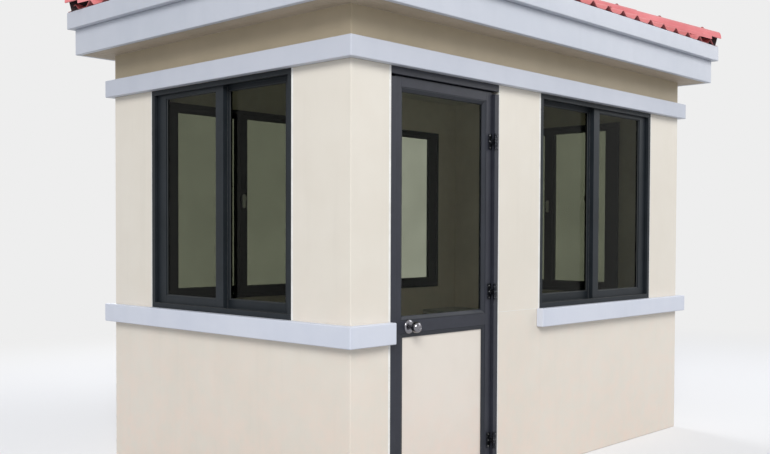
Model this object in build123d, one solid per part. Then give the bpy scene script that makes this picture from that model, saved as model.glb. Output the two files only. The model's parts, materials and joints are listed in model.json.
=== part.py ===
from build123d import *
import math
import os

# Security guard booth: panel walls, sliding windows, an outward door and a hipped sheet roof.
# Millimetres, +Z up. The front (door side) faces -Y. The origin is the centre of the foot.

# Plan and heights
LENGTH = 3200
WIDTH = 2000
WALL = 75
FLOOR_TOP = 40
SILL_TOP = 920
SOFFIT_Z = 2400
HEAD_STRIP = 150
CEILING_THICK = 40
SEAT = 0.3

# Trim bands under and over the windows
SILL_BAND_HEIGHT = 104
SILL_BAND_PROUD = 46
HEAD_BAND_HEIGHT = 100
HEAD_BAND_PROUD = 42
SILL_BAND_LEAD = 26

# Cornice
SOFFIT_THICK = 12
LOWER_FASCIA_HEIGHT = 152
LOWER_FASCIA_PROUD = 166
LOWER_FASCIA_THICK = 30
UPPER_FASCIA_HEIGHT = 100
UPPER_FASCIA_PROUD = 201

# Roof sheet, hip caps and ridge
ROOF_PITCH = 20
EAVE_SETBACK = 4
WAVE_PITCH = 169
ROLL_WIDTH = 84
ROLL_HEIGHT = 29
CREST_RADIUS = 14
SHEET_THICK = 4
FIRST_CREST = 113
HIP_GAP = 6
CAP_HALF_WIDTH = 168
CAP_CROWN_HALF_WIDTH = 62
CAP_CROWN = 96
CAP_LIFT = 20
CAP_THICK = 4
CAP_OVERHANG = 45

# Piers beside the windows, which fill what the piers leave
FRONT_MIDDLE_PIER = 400
FRONT_CORNER_PIER = 386
SIDE_FRONT_PIER = 410
SIDE_BACK_PIER = 390
BACK_CORNER_PIER = 310
BACK_MIDDLE_PIER = 200
BACK_WINDOW_COUNT = 2

# Windows
FRAME_FACE = 28
FRAME_PROUD = 2
FRAME_WEB = 12
OUTER_LEG = 20
TRACK = 32
MID_LEG = 4
INNER_LEG = 6
SASH_THICK = 28
SASH_PLAY = 1
JAMB_STILE = 95
MEETING_STILE = 65
TOP_RAIL = 36
BOTTOM_RAIL = 60
PANE_THICK = 6
PANE_BITE = 8
PANE_GROOVE = 10
LATCH_HEIGHT = 90
LATCH_WIDTH = 22
LATCH_THICK = 12
LATCH_Z = 1555
LATCH_BEVEL = 7
LATCH_LEVER = 34
LATCH_LEVER_WIDTH = 10
LATCH_LEVER_THICK = 12

# Door
DOOR_MARGIN = 268
DOOR_FRAME_WIDTH = 858
DOOR_FRAME_FACE = 36
DOOR_FRAME_PROUD = 3
DOOR_STOP = 14
DOOR_GAP = 6
LEAF_BEVEL = 4
LEAF_SETBACK = 14
LEAF_THICK = 45
LEAF_BAR = 48
MID_RAIL = 61
MID_RAIL_Z = 887.5
BOTTOM_BAR = 70
BEAD = 22
BEAD_SETBACK = 2
BEAD_LIP = 5
DOOR_PANE_THICK = 6
DOOR_PANEL_THICK = 20
PANE_CLEAR = 2

# Hinges: three knuckle hinges outside, on the right
HINGE_COUNT = 3
HINGE_FROM_BOTTOM = 185
HINGE_FROM_TOP = 265
HINGE_HEIGHT = 85
KNUCKLE_RADIUS = 9
PIN_RADIUS = 4
PIN_CLEAR = 0.1
KNUCKLE_GAP = 0.5
HINGE_PLATE = 3
HINGE_PLATE_WIDTH = 32
HINGE_WEB = 6

# Knob
KNOB_BACKSET = 111
ROSE_RADIUS = 35
ROSE_THICK = 10
SPINDLE_RADIUS = 8
SPINDLE_CLEAR = 0.4
NECK_RADIUS = 12
NECK_LENGTH = 14
KNOB_RADIUS = 28
KNOB_FLARE = 20
KNOB_RIM = 14
KNOB_BEVEL = 14
KNOB_FACE_RADIUS = 15

# Worktop inside, along the right wall
WORKTOP_DEPTH = 400
WORKTOP_TOP = 740
WORKTOP_THICK = 28

# Sizes that follow
HALF_LENGTH = LENGTH / 2
HALF_WIDTH = WIDTH / 2
HEAD = SOFFIT_Z - HEAD_STRIP - HEAD_BAND_HEIGHT
FRAME_DEPTH = OUTER_LEG + 2 * TRACK + MID_LEG + INNER_LEG
WINDOW_HEIGHT = HEAD - SILL_TOP
CORNICE_TOP = SOFFIT_Z + LOWER_FASCIA_HEIGHT + UPPER_FASCIA_HEIGHT
LOWER_FASCIA_INNER = LOWER_FASCIA_PROUD - LOWER_FASCIA_THICK
DOOR_RIGHT = DOOR_MARGIN + DOOR_FRAME_WIDTH
LEAF_LEFT = DOOR_MARGIN + DOOR_FRAME_FACE + DOOR_GAP
LEAF_RIGHT = DOOR_RIGHT - DOOR_FRAME_FACE - DOOR_GAP
LEAF_BOTTOM = DOOR_FRAME_FACE + DOOR_GAP
LEAF_TOP = HEAD - DOOR_FRAME_FACE - DOOR_GAP
EAVE_PROUD = UPPER_FASCIA_PROUD - EAVE_SETBACK
EAVE_Z = CORNICE_TOP + SEAT
PITCH = math.radians(ROOF_PITCH)
ROOF_RUN = HALF_WIDTH + EAVE_PROUD
RIDGE_Z = EAVE_Z + ROOF_RUN * math.tan(PITCH)
RIDGE_HALF = HALF_LENGTH - HALF_WIDTH
SHEET_TOP = ROLL_HEIGHT + SHEET_THICK

# Each wall's own frame: x along the wall as seen from outside, y inward, z up
FRONT = Location((-HALF_LENGTH, -HALF_WIDTH, 0), (0, 0, 0))
RIGHT = Location((HALF_LENGTH, -HALF_WIDTH, 0), (0, 0, 90))
BACK = Location((HALF_LENGTH, HALF_WIDTH, 0), (0, 0, 180))
LEFT = Location((-HALF_LENGTH, HALF_WIDTH, 0), (0, 0, -90))
SIDES = ((FRONT, LENGTH), (RIGHT, WIDTH), (BACK, LENGTH), (LEFT, WIDTH))


def slab(x0, x1, y0, y1, z0, z1):
    """A box given by its two corners."""
    corner = (Align.MIN, Align.MIN, Align.MIN)
    return Pos(x0, y0, z0) * Box(x1 - x0, y1 - y0, z1 - z0, align=corner)


def prism(points, height):
    """A flat outline in XY carried up by a height."""
    return extrude(make_face(Polyline(*points, close=True)), amount=height)


def upright(points, z0, z1):
    """An outline in XY carried from one height to another."""
    return Pos(0, 0, z0) * prism(points, z1 - z0)


# Walls

def window_spans():
    """Where the windows of each wall start and end, in the wall's own x."""
    back_room = LENGTH - 2 * BACK_CORNER_PIER + BACK_MIDDLE_PIER
    back_step = back_room / BACK_WINDOW_COUNT
    back_starts = [BACK_CORNER_PIER + k * back_step for k in range(BACK_WINDOW_COUNT)]
    return {
        "front": [(DOOR_RIGHT + FRONT_MIDDLE_PIER, LENGTH - FRONT_CORNER_PIER)],
        "right": [(SIDE_FRONT_PIER, WIDTH - SIDE_BACK_PIER)],
        "back": [(start, start + back_step - BACK_MIDDLE_PIER) for start in back_starts],
        "left": [(SIDE_BACK_PIER, WIDTH - SIDE_FRONT_PIER)],
    }


def piers(place, start, end, spans):
    """The wall beside the windows, from the sill to the head."""
    edges = [start] + [edge for span in spans for edge in (span[0] - SEAT, span[1] + SEAT)] + [end]
    pairs = zip(edges[0::2], edges[1::2])
    return [place * slab(a, b, 0, WALL, SILL_TOP, HEAD) for a, b in pairs]


def front_piers():
    """The full-height pier left of the door and the two piers beside the window."""
    corner = slab(0, DOOR_MARGIN - SEAT, 0, WALL, 0, HEAD)
    return [FRONT * corner] + piers(FRONT, DOOR_RIGHT + SEAT, LENGTH, window_spans()["front"])


def walls():
    """Aprons below the windows, piers beside them and heads over them."""
    spans = window_spans()
    side_end = WIDTH - WALL
    long_head = slab(0, LENGTH, 0, WALL, HEAD, SOFFIT_Z)
    side_head = slab(WALL + SEAT, side_end - SEAT, 0, WALL, HEAD, SOFFIT_Z)
    heads = [FRONT * long_head, RIGHT * side_head, BACK * long_head, LEFT * side_head]
    return {
        "front_wall_apron": [FRONT * slab(DOOR_RIGHT + SEAT, LENGTH, 0, WALL, 0, SILL_TOP)],
        "front_wall_piers": front_piers(),
        "right_wall_apron": [RIGHT * slab(WALL, side_end, 0, WALL, 0, SILL_TOP)],
        "right_wall_piers": piers(RIGHT, WALL, side_end, spans["right"]),
        "back_wall_apron": [BACK * slab(0, LENGTH, 0, WALL, 0, SILL_TOP)],
        "back_wall_piers": piers(BACK, 0, LENGTH, spans["back"]),
        "left_wall_apron": [LEFT * slab(WALL, side_end, 0, WALL, 0, SILL_TOP)],
        "left_wall_piers": piers(LEFT, WALL, side_end, spans["left"]),
        "wall_heads": heads,
    }


def floor():
    """The floor board between the walls."""
    inside_x = HALF_LENGTH - WALL
    inside_y = HALF_WIDTH - WALL
    return slab(-inside_x, inside_x, -inside_y, inside_y, 0, FLOOR_TOP)


def ceiling():
    """The ceiling panel that lies on the wall heads."""
    return slab(-HALF_LENGTH, HALF_LENGTH, -HALF_WIDTH, HALF_WIDTH, SOFFIT_Z, SOFFIT_Z + CEILING_THICK)


def worktop():
    """The fixed worktop along the right wall, carried by three walls."""
    end = WIDTH - WALL
    return RIGHT * slab(WALL, end, WALL, WALL + WORKTOP_DEPTH, WORKTOP_TOP - WORKTOP_THICK, WORKTOP_TOP)


# Trim that runs round the booth

def trim_bar(place, start, end, inner, outer, z0, z1):
    """One straight of a band. start and end are its ends in the wall's x, or None for a mitred corner."""
    length = LENGTH if place in (FRONT, BACK) else WIDTH
    left_in, left_out = (SEAT - inner, SEAT - outer) if start is None else (start, start)
    right_in, right_out = (length + inner - SEAT, length + outer - SEAT) if end is None else (end, end)
    outline = [(left_out, -outer), (right_out, -outer), (right_in, -inner), (left_in, -inner)]
    return place * upright(outline, z0, z1)


def ring(inner, outer, z0, z1):
    """Four mitred straights round the booth."""
    return [trim_bar(place, None, None, inner, outer, z0, z1) for place, _ in SIDES]


def sill_band():
    """The band under the windows: it stops at the door frame and starts again before the front window."""
    z0 = SILL_TOP - SILL_BAND_HEIGHT
    restart = window_spans()["front"][0][0] - SILL_BAND_LEAD
    bars = [trim_bar(place, None, None, 0, SILL_BAND_PROUD, z0, SILL_TOP) for place in (RIGHT, BACK, LEFT)]
    bars.append(trim_bar(FRONT, None, DOOR_MARGIN - SEAT, 0, SILL_BAND_PROUD, z0, SILL_TOP))
    bars.append(trim_bar(FRONT, restart, None, 0, SILL_BAND_PROUD, z0, SILL_TOP))
    return bars


def trim():
    """Bands, soffit and the two steps of the cornice."""
    step = SOFFIT_Z + LOWER_FASCIA_HEIGHT
    return {
        "sill_band": sill_band(),
        "head_band": ring(0, HEAD_BAND_PROUD, HEAD, HEAD + HEAD_BAND_HEIGHT),
        "soffit": ring(SEAT, LOWER_FASCIA_INNER - SEAT, SOFFIT_Z + SEAT, SOFFIT_Z + SOFFIT_THICK),
        "lower_fascia": ring(LOWER_FASCIA_INNER, LOWER_FASCIA_PROUD, SOFFIT_Z, step),
        "upper_fascia": ring(LOWER_FASCIA_INNER, UPPER_FASCIA_PROUD, step, CORNICE_TOP),
    }


# Roof

def roll_curve(x, lift):
    """One roll of the sheet from right to left, at a lift above its underside: flank, crest, flank.

    The underside has a flat crest, so the sheet is thickest along the top of the roll.
    """
    half = ROLL_WIDTH / 2
    centre = ROLL_HEIGHT - CREST_RADIUS
    flank = math.atan2(centre, half) + math.asin(CREST_RADIUS / math.hypot(half, centre))
    radius = CREST_RADIUS + lift
    foot_x = half + lift * math.tan(flank / 2)
    meet_x = radius * math.sin(flank)
    meet_y = centre + radius * math.cos(flank)
    right = Line((x + foot_x, lift), (x + meet_x, meet_y))
    left = Line((x - meet_x, meet_y), (x - foot_x, lift))
    crest = ThreePointArc(right @ 1, (x, centre + radius), left @ 0) if lift else Line(right @ 1, left @ 0)
    return [right, crest, left]


def sheet_curve(first_crest, count, lift):
    """Rolls and the flat pans between them, from right to left, at a lift above the underside."""
    edges = []
    for k in range(count):
        roll = roll_curve(first_crest - k * WAVE_PITCH, lift)
        if edges:
            edges.append(Line(edges[-1] @ 1, roll[0] @ 0))
        edges += roll
    return edges


def wavy_sheet(right_end, left_end, run):
    """A sheet of rolls that run up the slope, with a spare roll beyond each end."""
    first_crest = right_end - FIRST_CREST + WAVE_PITCH
    count = math.ceil((first_crest - left_end) / WAVE_PITCH) + 2
    under = sheet_curve(first_crest, count, 0)
    over = sheet_curve(first_crest, count, SHEET_THICK)
    ends = [Line(under[0] @ 0, over[0] @ 0), Line(under[-1] @ 1, over[-1] @ 1)]
    section = Plane.XZ * make_face(Wire(under + over + ends))
    sheet = extrude(section, amount=run / math.cos(PITCH) + SHEET_TOP, dir=(0, 1, 0))
    return Rot(ROOF_PITCH, 0, 0) * sheet


def roof_slope(place, length):
    """One slope, cut at its hips and below the ridge."""
    sheet = Pos(0, -EAVE_PROUD, EAVE_Z) * wavy_sheet(length + EAVE_PROUD, -EAVE_PROUD, ROOF_RUN)
    inset = HIP_GAP / math.sqrt(2)
    left = -EAVE_PROUD + inset
    right = length + EAVE_PROUD - inset
    rise = min(ROOF_RUN - HIP_GAP / 2, (right - left) / 2 - SEAT)
    top = rise - EAVE_PROUD
    outline = [(left, -EAVE_PROUD), (right, -EAVE_PROUD), (right - rise, top), (left + rise, top)]
    keep = upright(outline, EAVE_Z - ROLL_HEIGHT, RIDGE_Z + CAP_CROWN)
    return place * (sheet & keep)


def cap_section(fall, crest):
    """A cap's section over its line: a round crown and wings that lie along the crests of both slopes."""
    def wing(x, lift):
        return x, crest - fall * abs(x) + lift

    edge = CAP_HALF_WIDTH
    inner_edge = edge - CAP_THICK
    bend = CAP_CROWN_HALF_WIDTH
    inner_bend = bend - CAP_THICK
    over = CAP_LIFT + CAP_THICK
    crown = ThreePointArc(wing(bend, over), (0, CAP_CROWN), wing(-bend, over))
    under_crown = (0, CAP_CROWN - CAP_THICK)
    hollow = ThreePointArc(wing(inner_bend, CAP_LIFT), under_crown, wing(-inner_bend, CAP_LIFT))
    left = Polyline(crown @ 1, wing(-edge, over), wing(-edge, SEAT), wing(-inner_edge, SEAT),
                    wing(-inner_edge, CAP_LIFT), hollow @ 1)
    right = Polyline(crown @ 0, wing(edge, over), wing(edge, SEAT), wing(inner_edge, SEAT),
                     wing(inner_edge, CAP_LIFT), hollow @ 0)
    return make_face(Wire([crown, hollow] + left.edges() + right.edges()))


def cap_bounds():
    """Where the caps lie in plan: a little past the eaves, and cut square across each hip at its corner."""
    x = HALF_LENGTH + EAVE_PROUD
    y = HALF_WIDTH + EAVE_PROUD
    past = CAP_OVERHANG
    outline = [(x + past, past - y), (x + past, y - past), (x - past, y + past), (past - x, y + past),
               (-x - past, y - past), (-x - past, past - y), (past - x, -y - past), (x - past, -y - past)]
    return upright(outline, EAVE_Z - ROLL_HEIGHT, RIDGE_Z + 2 * CAP_CROWN)


def hip_caps():
    """A cap on each hip, a little past the eaves below and mitred to its neighbours at the ridge's end."""
    slope = math.sin(PITCH)
    share = math.sqrt(1 - slope ** 2 / 2)
    section = cap_section(slope / math.sqrt(2) / share, SHEET_TOP / share)
    low = Vector(-HALF_LENGTH - EAVE_PROUD, -HALF_WIDTH - EAVE_PROUD, EAVE_Z)
    high = Vector(-RIDGE_HALF, 0, RIDGE_Z)
    along = (high - low).normalized()
    across = Vector(0, 0, 1).cross(along).normalized()
    plane = Plane(origin=low - along * CAP_CROWN, x_dir=across, z_dir=along)
    bar = extrude(plane * section, amount=(high - low).length + CAP_CROWN + CAP_HALF_WIDTH)
    reach = 2 * ROOF_RUN
    mitre = reach * math.tan(math.radians(22.5))
    keep = [(0, -SEAT), (-reach, -SEAT), (-reach, -reach), (mitre, -reach)]
    block = Pos(high.X - SEAT, 0, 0) * upright(keep, EAVE_Z - ROLL_HEIGHT, RIDGE_Z + 2 * CAP_CROWN)
    cap = bar & cap_bounds() & block
    pair = [cap, mirror(cap, about=Plane.XZ)]
    return pair + [mirror(half, about=Plane.YZ) for half in pair]


def ridge_cap():
    """The cap along the ridge, mitred to the hip caps at both ends."""
    section = cap_section(math.tan(PITCH), SHEET_TOP / math.cos(PITCH))
    reach = RIDGE_HALF + CAP_HALF_WIDTH
    plane = Plane(origin=(-reach, 0, RIDGE_Z), x_dir=(0, 1, 0), z_dir=(1, 0, 0))
    bar = extrude(plane * section, amount=2 * reach)
    tip = RIDGE_HALF - SEAT
    shoulder = tip - 2 * CAP_HALF_WIDTH * math.tan(math.radians(22.5))
    side = 2 * CAP_HALF_WIDTH
    keep = [(tip, 0), (shoulder, side), (-shoulder, side), (-tip, 0), (-shoulder, -side), (shoulder, -side)]
    return [bar & upright(keep, EAVE_Z, RIDGE_Z + 2 * CAP_CROWN)]


def roof():
    """Four slopes of wavy sheet with their caps."""
    names = ("roof_slope_front", "roof_slope_right", "roof_slope_back", "roof_slope_left")
    slopes = {name: [roof_slope(place, length)] for name, (place, length) in zip(names, SIDES)}
    return slopes | {"hip_caps": hip_caps(), "ridge_cap": ridge_cap()}


# Windows. Each is made in a frame with x along the wall, y inward and z up from its sill.

def track_section():
    """The frame's section: depth against height, with a groove for each sash."""
    y0 = -FRAME_PROUD
    y1 = y0 + OUTER_LEG
    y2 = y1 + TRACK
    y3 = y2 + MID_LEG
    y4 = y3 + TRACK
    y5 = y4 + INNER_LEG
    face = FRAME_FACE
    web = FRAME_WEB
    return [(y0, 0), (y0, face), (y1, face), (y1, web), (y2, web), (y2, face),
            (y3, face), (y3, web), (y4, web), (y4, face), (y5, face), (y5, 0)]


def window_frame(width):
    """Sill and head across the width, and the jambs between them."""
    profile = track_section()
    run_x = Plane(origin=(0, 0, 0), x_dir=(0, 1, 0), z_dir=(1, 0, 0))
    sill = extrude(run_x * make_face(Polyline(*profile, close=True)), amount=width)
    head = Pos(0, 0, WINDOW_HEIGHT) * mirror(sill, about=Plane.XY)
    jamb_outline = [(v, y) for y, v in profile]
    left = upright(jamb_outline, FRAME_FACE + SEAT, WINDOW_HEIGHT - FRAME_FACE - SEAT)
    right = Pos(width, 0, 0) * mirror(left, about=Plane.YZ)
    return [sill, head, left, right]


def grooved_bar(width, length):
    """An upright sash bar with a glazing groove along its +x side."""
    half = SASH_THICK / 2
    lip = half - PANE_THICK / 2 - SEAT
    depth = width - PANE_GROOVE
    outline = [(0, -half), (width, -half), (width, -half + lip), (depth, -half + lip),
               (depth, half - lip), (width, half - lip), (width, half), (0, half)]
    return prism(outline, length)


def sash(width, height, meeting_on_right):
    """Four bars and the pane of one sash, its lower left corner at the origin, centred in depth."""
    left_width, right_width = JAMB_STILE, MEETING_STILE
    if not meeting_on_right:
        left_width, right_width = right_width, left_width
    left = grooved_bar(left_width, height)
    right = Pos(width, 0, 0) * mirror(grooved_bar(right_width, height), about=Plane.YZ)
    rail_length = width - left_width - right_width - 2 * SEAT
    lying = Rot(0, 90, 0)
    rail_x = left_width + SEAT
    bottom = Pos(rail_x, 0, 0) * mirror(lying * grooved_bar(BOTTOM_RAIL, rail_length), about=Plane.XY)
    top = Pos(rail_x, 0, height) * (lying * grooved_bar(TOP_RAIL, rail_length))
    half = PANE_THICK / 2
    pane = slab(left_width - PANE_BITE, width - right_width + PANE_BITE, -half, half,
                BOTTOM_RAIL - PANE_BITE, height - TOP_RAIL + PANE_BITE)
    return [left, right, bottom, top], pane


def window(width, outer_on_right):
    """A two-pane sliding window: the bars of the frame, of both sashes, the panes and the latch."""
    clear = width - 2 * FRAME_WEB
    sash_width = (clear + MEETING_STILE) / 2 - SASH_PLAY
    sash_height = WINDOW_HEIGHT - 2 * FRAME_WEB - SASH_PLAY
    left_x = FRAME_WEB + SASH_PLAY
    right_x = width - FRAME_WEB - SASH_PLAY - sash_width
    outer_y = -FRAME_PROUD + OUTER_LEG + TRACK / 2
    inner_y = outer_y + TRACK + MID_LEG
    outer_x, inner_x = (right_x, left_x) if outer_on_right else (left_x, right_x)
    outer_bars, outer_pane = sash(sash_width, sash_height, not outer_on_right)
    inner_bars, inner_pane = sash(sash_width, sash_height, outer_on_right)
    outer_place = Pos(outer_x, outer_y, FRAME_WEB)
    inner_place = Pos(inner_x, inner_y, FRAME_WEB)
    bars = [outer_place * bar for bar in outer_bars] + [inner_place * bar for bar in inner_bars]
    panes = [outer_place * outer_pane, inner_place * inner_pane]
    latch = Pos(width / 2, inner_y + SASH_THICK / 2, LATCH_Z - SILL_TOP) * window_latch()
    return window_frame(width), bars, panes, latch


def window_latch():
    """A latch on the room side of the meeting stile: a bevelled body and its lever."""
    half = LATCH_WIDTH / 2
    body = slab(-half, half, SEAT, LATCH_THICK, -LATCH_HEIGHT / 2, LATCH_HEIGHT / 2)
    body = chamfer(body.edges().filter_by(Axis.Y), LATCH_BEVEL)
    lever = slab(-LATCH_LEVER_WIDTH / 2, LATCH_LEVER_WIDTH / 2, LATCH_THICK, LATCH_THICK + LATCH_LEVER_THICK,
                 0, LATCH_LEVER)
    return body + lever


def windows():
    """The windows of all four walls, by kind of piece."""
    places = {"front": (FRONT, True), "right": (RIGHT, True), "back": (BACK, True), "left": (LEFT, False)}
    pieces = {}
    latches = []
    for side, spans in window_spans().items():
        place, outer_on_right = places[side]
        frames, sashes, panes = [], [], []
        for start, end in spans:
            at = place * Pos(start, 0, SILL_TOP)
            frame, bars, glass, latch = window(end - start, outer_on_right)
            frames += [at * bar for bar in frame]
            sashes += [at * bar for bar in bars]
            panes += [at * pane for pane in glass]
            latches.append(at * latch)
        pieces[f"{side}_window_frame"] = frames
        pieces[f"{side}_window_sashes"] = sashes
        pieces[f"{side}_window_glass"] = panes
    pieces["window_latches"] = latches
    return pieces


# Door, in the front wall's frame

def door_frame():
    """Two jambs, a head and a threshold, with the stop that the leaf closes against."""
    y0 = -DOOR_FRAME_PROUD
    y1 = WALL - SEAT
    stop_y = LEAF_SETBACK + LEAF_THICK + DOOR_GAP
    face = DOOR_FRAME_FACE
    deep = face + DOOR_STOP
    profile = [(y0, 0), (y0, face), (stop_y, face), (stop_y, deep), (y1, deep), (y1, 0)]
    run_x = Plane(origin=(0, 0, 0), x_dir=(0, 1, 0), z_dir=(1, 0, 0))
    lying = extrude(run_x * make_face(Polyline(*profile, close=True)), amount=DOOR_FRAME_WIDTH)
    head = Pos(DOOR_MARGIN, 0, HEAD) * mirror(lying, about=Plane.XY)
    threshold = slab(DOOR_MARGIN, DOOR_RIGHT, y0, y1, 0, face)
    jamb = upright([(v, y) for y, v in profile], face + SEAT, HEAD - deep - SEAT)
    left = Pos(DOOR_MARGIN, 0, 0) * jamb
    right = Pos(DOOR_RIGHT, 0, 0) * mirror(jamb, about=Plane.YZ)
    return [FRONT * bar for bar in (head, threshold, left, right)]


def door_leaf():
    """Stiles and three rails. The lock edge is bevelled, and the middle rail is bored for the spindle."""
    y0 = LEAF_SETBACK
    y1 = y0 + LEAF_THICK
    inner = LEAF_LEFT + LEAF_BAR
    lock_stile = [(LEAF_LEFT, y0), (inner, y0), (inner, y1), (LEAF_LEFT + LEAF_BEVEL, y1)]
    left = upright(lock_stile, LEAF_BOTTOM, LEAF_TOP)
    right = slab(LEAF_RIGHT - LEAF_BAR, LEAF_RIGHT, y0, y1, LEAF_BOTTOM, LEAF_TOP)
    x0 = LEAF_LEFT + LEAF_BAR + SEAT
    x1 = LEAF_RIGHT - LEAF_BAR - SEAT
    top = slab(x0, x1, y0, y1, LEAF_TOP - LEAF_BAR, LEAF_TOP)
    middle = slab(x0, x1, y0, y1, MID_RAIL_Z - MID_RAIL / 2, MID_RAIL_Z + MID_RAIL / 2)
    bore = Cylinder(SPINDLE_RADIUS + SPINDLE_CLEAR, 2 * LEAF_THICK)
    middle -= Pos(LEAF_LEFT + KNOB_BACKSET, y0, MID_RAIL_Z) * Rot(90, 0, 0) * bore
    bottom = slab(x0, x1, y0, y1, LEAF_BOTTOM, LEAF_BOTTOM + BOTTOM_BAR)
    return [FRONT * bar for bar in (left, right, top, middle, bottom)]


def leaf_openings():
    """The two rectangles that the leaf's bars leave: x0, x1, z0, z1 and the infill's thickness."""
    x0 = LEAF_LEFT + LEAF_BAR
    x1 = LEAF_RIGHT - LEAF_BAR
    glass = (x0, x1, MID_RAIL_Z + MID_RAIL / 2, LEAF_TOP - LEAF_BAR, DOOR_PANE_THICK)
    panel = (x0, x1, LEAF_BOTTOM + BOTTOM_BAR, MID_RAIL_Z - MID_RAIL / 2, DOOR_PANEL_THICK)
    return glass, panel


def infill(opening):
    """The pane or panel of one of the leaf's openings, held between its beads."""
    x0, x1, z0, z1, thick = opening
    middle = LEAF_SETBACK + LEAF_THICK / 2
    gap = PANE_CLEAR
    return FRONT * slab(x0 + gap, x1 - gap, middle - thick / 2, middle + thick / 2, z0 + gap, z1 - gap)


def bead_bar(length, thick):
    """One mitred glazing bead that lies along x: square at the bar, sloping to a thin lip."""
    near = LEAF_SETBACK + BEAD_SETBACK
    far = LEAF_SETBACK + LEAF_THICK / 2 - thick / 2 - SEAT
    outline = [(near, SEAT), (far, SEAT), (far, BEAD), (far - BEAD_LIP, BEAD), (near, SEAT + BEAD_LIP)]
    run_x = Plane(origin=(0, 0, 0), x_dir=(0, 1, 0), z_dir=(1, 0, 0))
    bar = extrude(run_x * make_face(Polyline(*outline, close=True)), amount=length)
    keep = [(SEAT, 0), (length - SEAT, 0), (length - SEAT - BEAD, BEAD), (SEAT + BEAD, BEAD)]
    across = Plane(origin=(0, LEAF_SETBACK + LEAF_THICK, 0), x_dir=(1, 0, 0), z_dir=(0, -1, 0))
    return bar & extrude(across * make_face(Polyline(*keep, close=True)), amount=2 * LEAF_THICK)


def bead_frame(opening):
    """Four mitred beads outside and four inside round one of the leaf's openings."""
    x0, x1, z0, z1, thick = opening
    width = x1 - x0
    height = z1 - z0
    turns = ((0, 0, 0, width), (width, 0, -90, height), (width, height, 180, width), (0, height, 90, height))
    middle = Plane(origin=(0, LEAF_SETBACK + LEAF_THICK / 2, 0), z_dir=(0, 1, 0))
    beads = []
    for x, z, turn, length in turns:
        outside = Pos(x0 + x, 0, z0 + z) * Rot(0, turn, 0) * bead_bar(length, thick)
        beads += [outside, mirror(outside, about=middle)]
    return [FRONT * bead for bead in beads]


def hinge_centres():
    """The middle heights of the hinges, at even steps along the leaf's stile."""
    lowest = LEAF_BOTTOM + HINGE_FROM_BOTTOM
    spacing = (LEAF_TOP - HINGE_FROM_TOP - lowest) / (HINGE_COUNT - 1)
    return [lowest + k * spacing for k in range(HINGE_COUNT)]


def hinge_axis():
    """The pin's place in the front wall's frame."""
    return DOOR_RIGHT - DOOR_FRAME_FACE - DOOR_GAP / 2, -DOOR_FRAME_PROUD - KNUCKLE_RADIUS


def knuckle(radius, z0, z1):
    """An upright cylinder about the hinge axis."""
    x, y = hinge_axis()
    return Pos(x, y, (z0 + z1) / 2) * Cylinder(radius, z1 - z0)


def hinge_frame_leaf(z):
    """The half on the jamb: plate, upper and lower knuckle, and the pin."""
    x, _ = hinge_axis()
    half = HINGE_HEIGHT / 2
    third = HINGE_HEIGHT / 6
    face = -DOOR_FRAME_PROUD - SEAT
    plate = slab(x, x + HINGE_PLATE_WIDTH, face - HINGE_PLATE, face, z - half, z + half)
    plate -= knuckle(KNUCKLE_RADIUS + KNUCKLE_GAP, z - third - KNUCKLE_GAP, z + third + KNUCKLE_GAP)
    lower = knuckle(KNUCKLE_RADIUS, z - half, z - third - KNUCKLE_GAP)
    upper = knuckle(KNUCKLE_RADIUS, z + third + KNUCKLE_GAP, z + half)
    pin = knuckle(PIN_RADIUS, z - half, z + half)
    seat = slab(0, LENGTH, -DOOR_FRAME_PROUD - SEAT, 0, z - half, z + half)
    return FRONT * (plate + lower + upper + pin - seat)


def hinge_door_leaf(z):
    """The half on the leaf: plate, web and the middle knuckle, bored for the pin."""
    x, y = hinge_axis()
    half = HINGE_HEIGHT / 2
    third = HINGE_HEIGHT / 6
    face = LEAF_SETBACK - SEAT
    edge = LEAF_RIGHT
    plate = slab(edge - HINGE_PLATE_WIDTH, edge, face - HINGE_PLATE, face, z - half, z + half)
    web = slab(x - KNUCKLE_RADIUS, x - KNUCKLE_RADIUS + HINGE_WEB, y, face, z - third, z + third)
    middle = knuckle(KNUCKLE_RADIUS, z - third, z + third)
    bore = knuckle(PIN_RADIUS + PIN_CLEAR, z - half, z + half)
    return FRONT * (plate + web + middle - bore)


def knob_place():
    """The knob's axis where it leaves the leaf's outer face, pointing out."""
    origin = (LEAF_LEFT + KNOB_BACKSET, LEAF_SETBACK, MID_RAIL_Z)
    return FRONT * Plane(origin=origin, x_dir=(1, 0, 0), z_dir=(0, -1, 0)).location


def turned(outline):
    """A solid turned about the knob's axis from a half outline of radius against height."""
    return revolve(Plane.XZ * make_face(Polyline(*outline, close=True)), Axis.Z)


def knob_head():
    """The neck, the flared back, the rim and the bevelled face of a knob, from its rose outward."""
    start = ROSE_THICK + SEAT
    tip = start + NECK_LENGTH + KNOB_FLARE + KNOB_RIM + KNOB_BEVEL
    outline = [
        (0, start),
        (NECK_RADIUS, start),
        (NECK_RADIUS, start + NECK_LENGTH),
        (KNOB_RADIUS, start + NECK_LENGTH + KNOB_FLARE),
        (KNOB_RADIUS, tip - KNOB_BEVEL),
        (KNOB_FACE_RADIUS, tip),
        (0, tip),
    ]
    return turned(outline)


def door_knob():
    """Both knobs and the spindle that joins them through the leaf."""
    outer = knob_head()
    inner = Pos(0, 0, -LEAF_THICK) * mirror(knob_head(), about=Plane.XY)
    reach = ROSE_THICK + SEAT
    spindle = Pos(0, 0, -LEAF_THICK / 2) * Cylinder(SPINDLE_RADIUS, LEAF_THICK + 2 * reach)
    return knob_place() * (outer + inner + spindle)


def knob_rose():
    """The round plate about the spindle, on the leaf's face."""
    hole = SPINDLE_RADIUS + SPINDLE_CLEAR
    return turned([(hole, 0), (ROSE_RADIUS, 0), (ROSE_RADIUS, ROSE_THICK), (hole, ROSE_THICK)])


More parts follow.
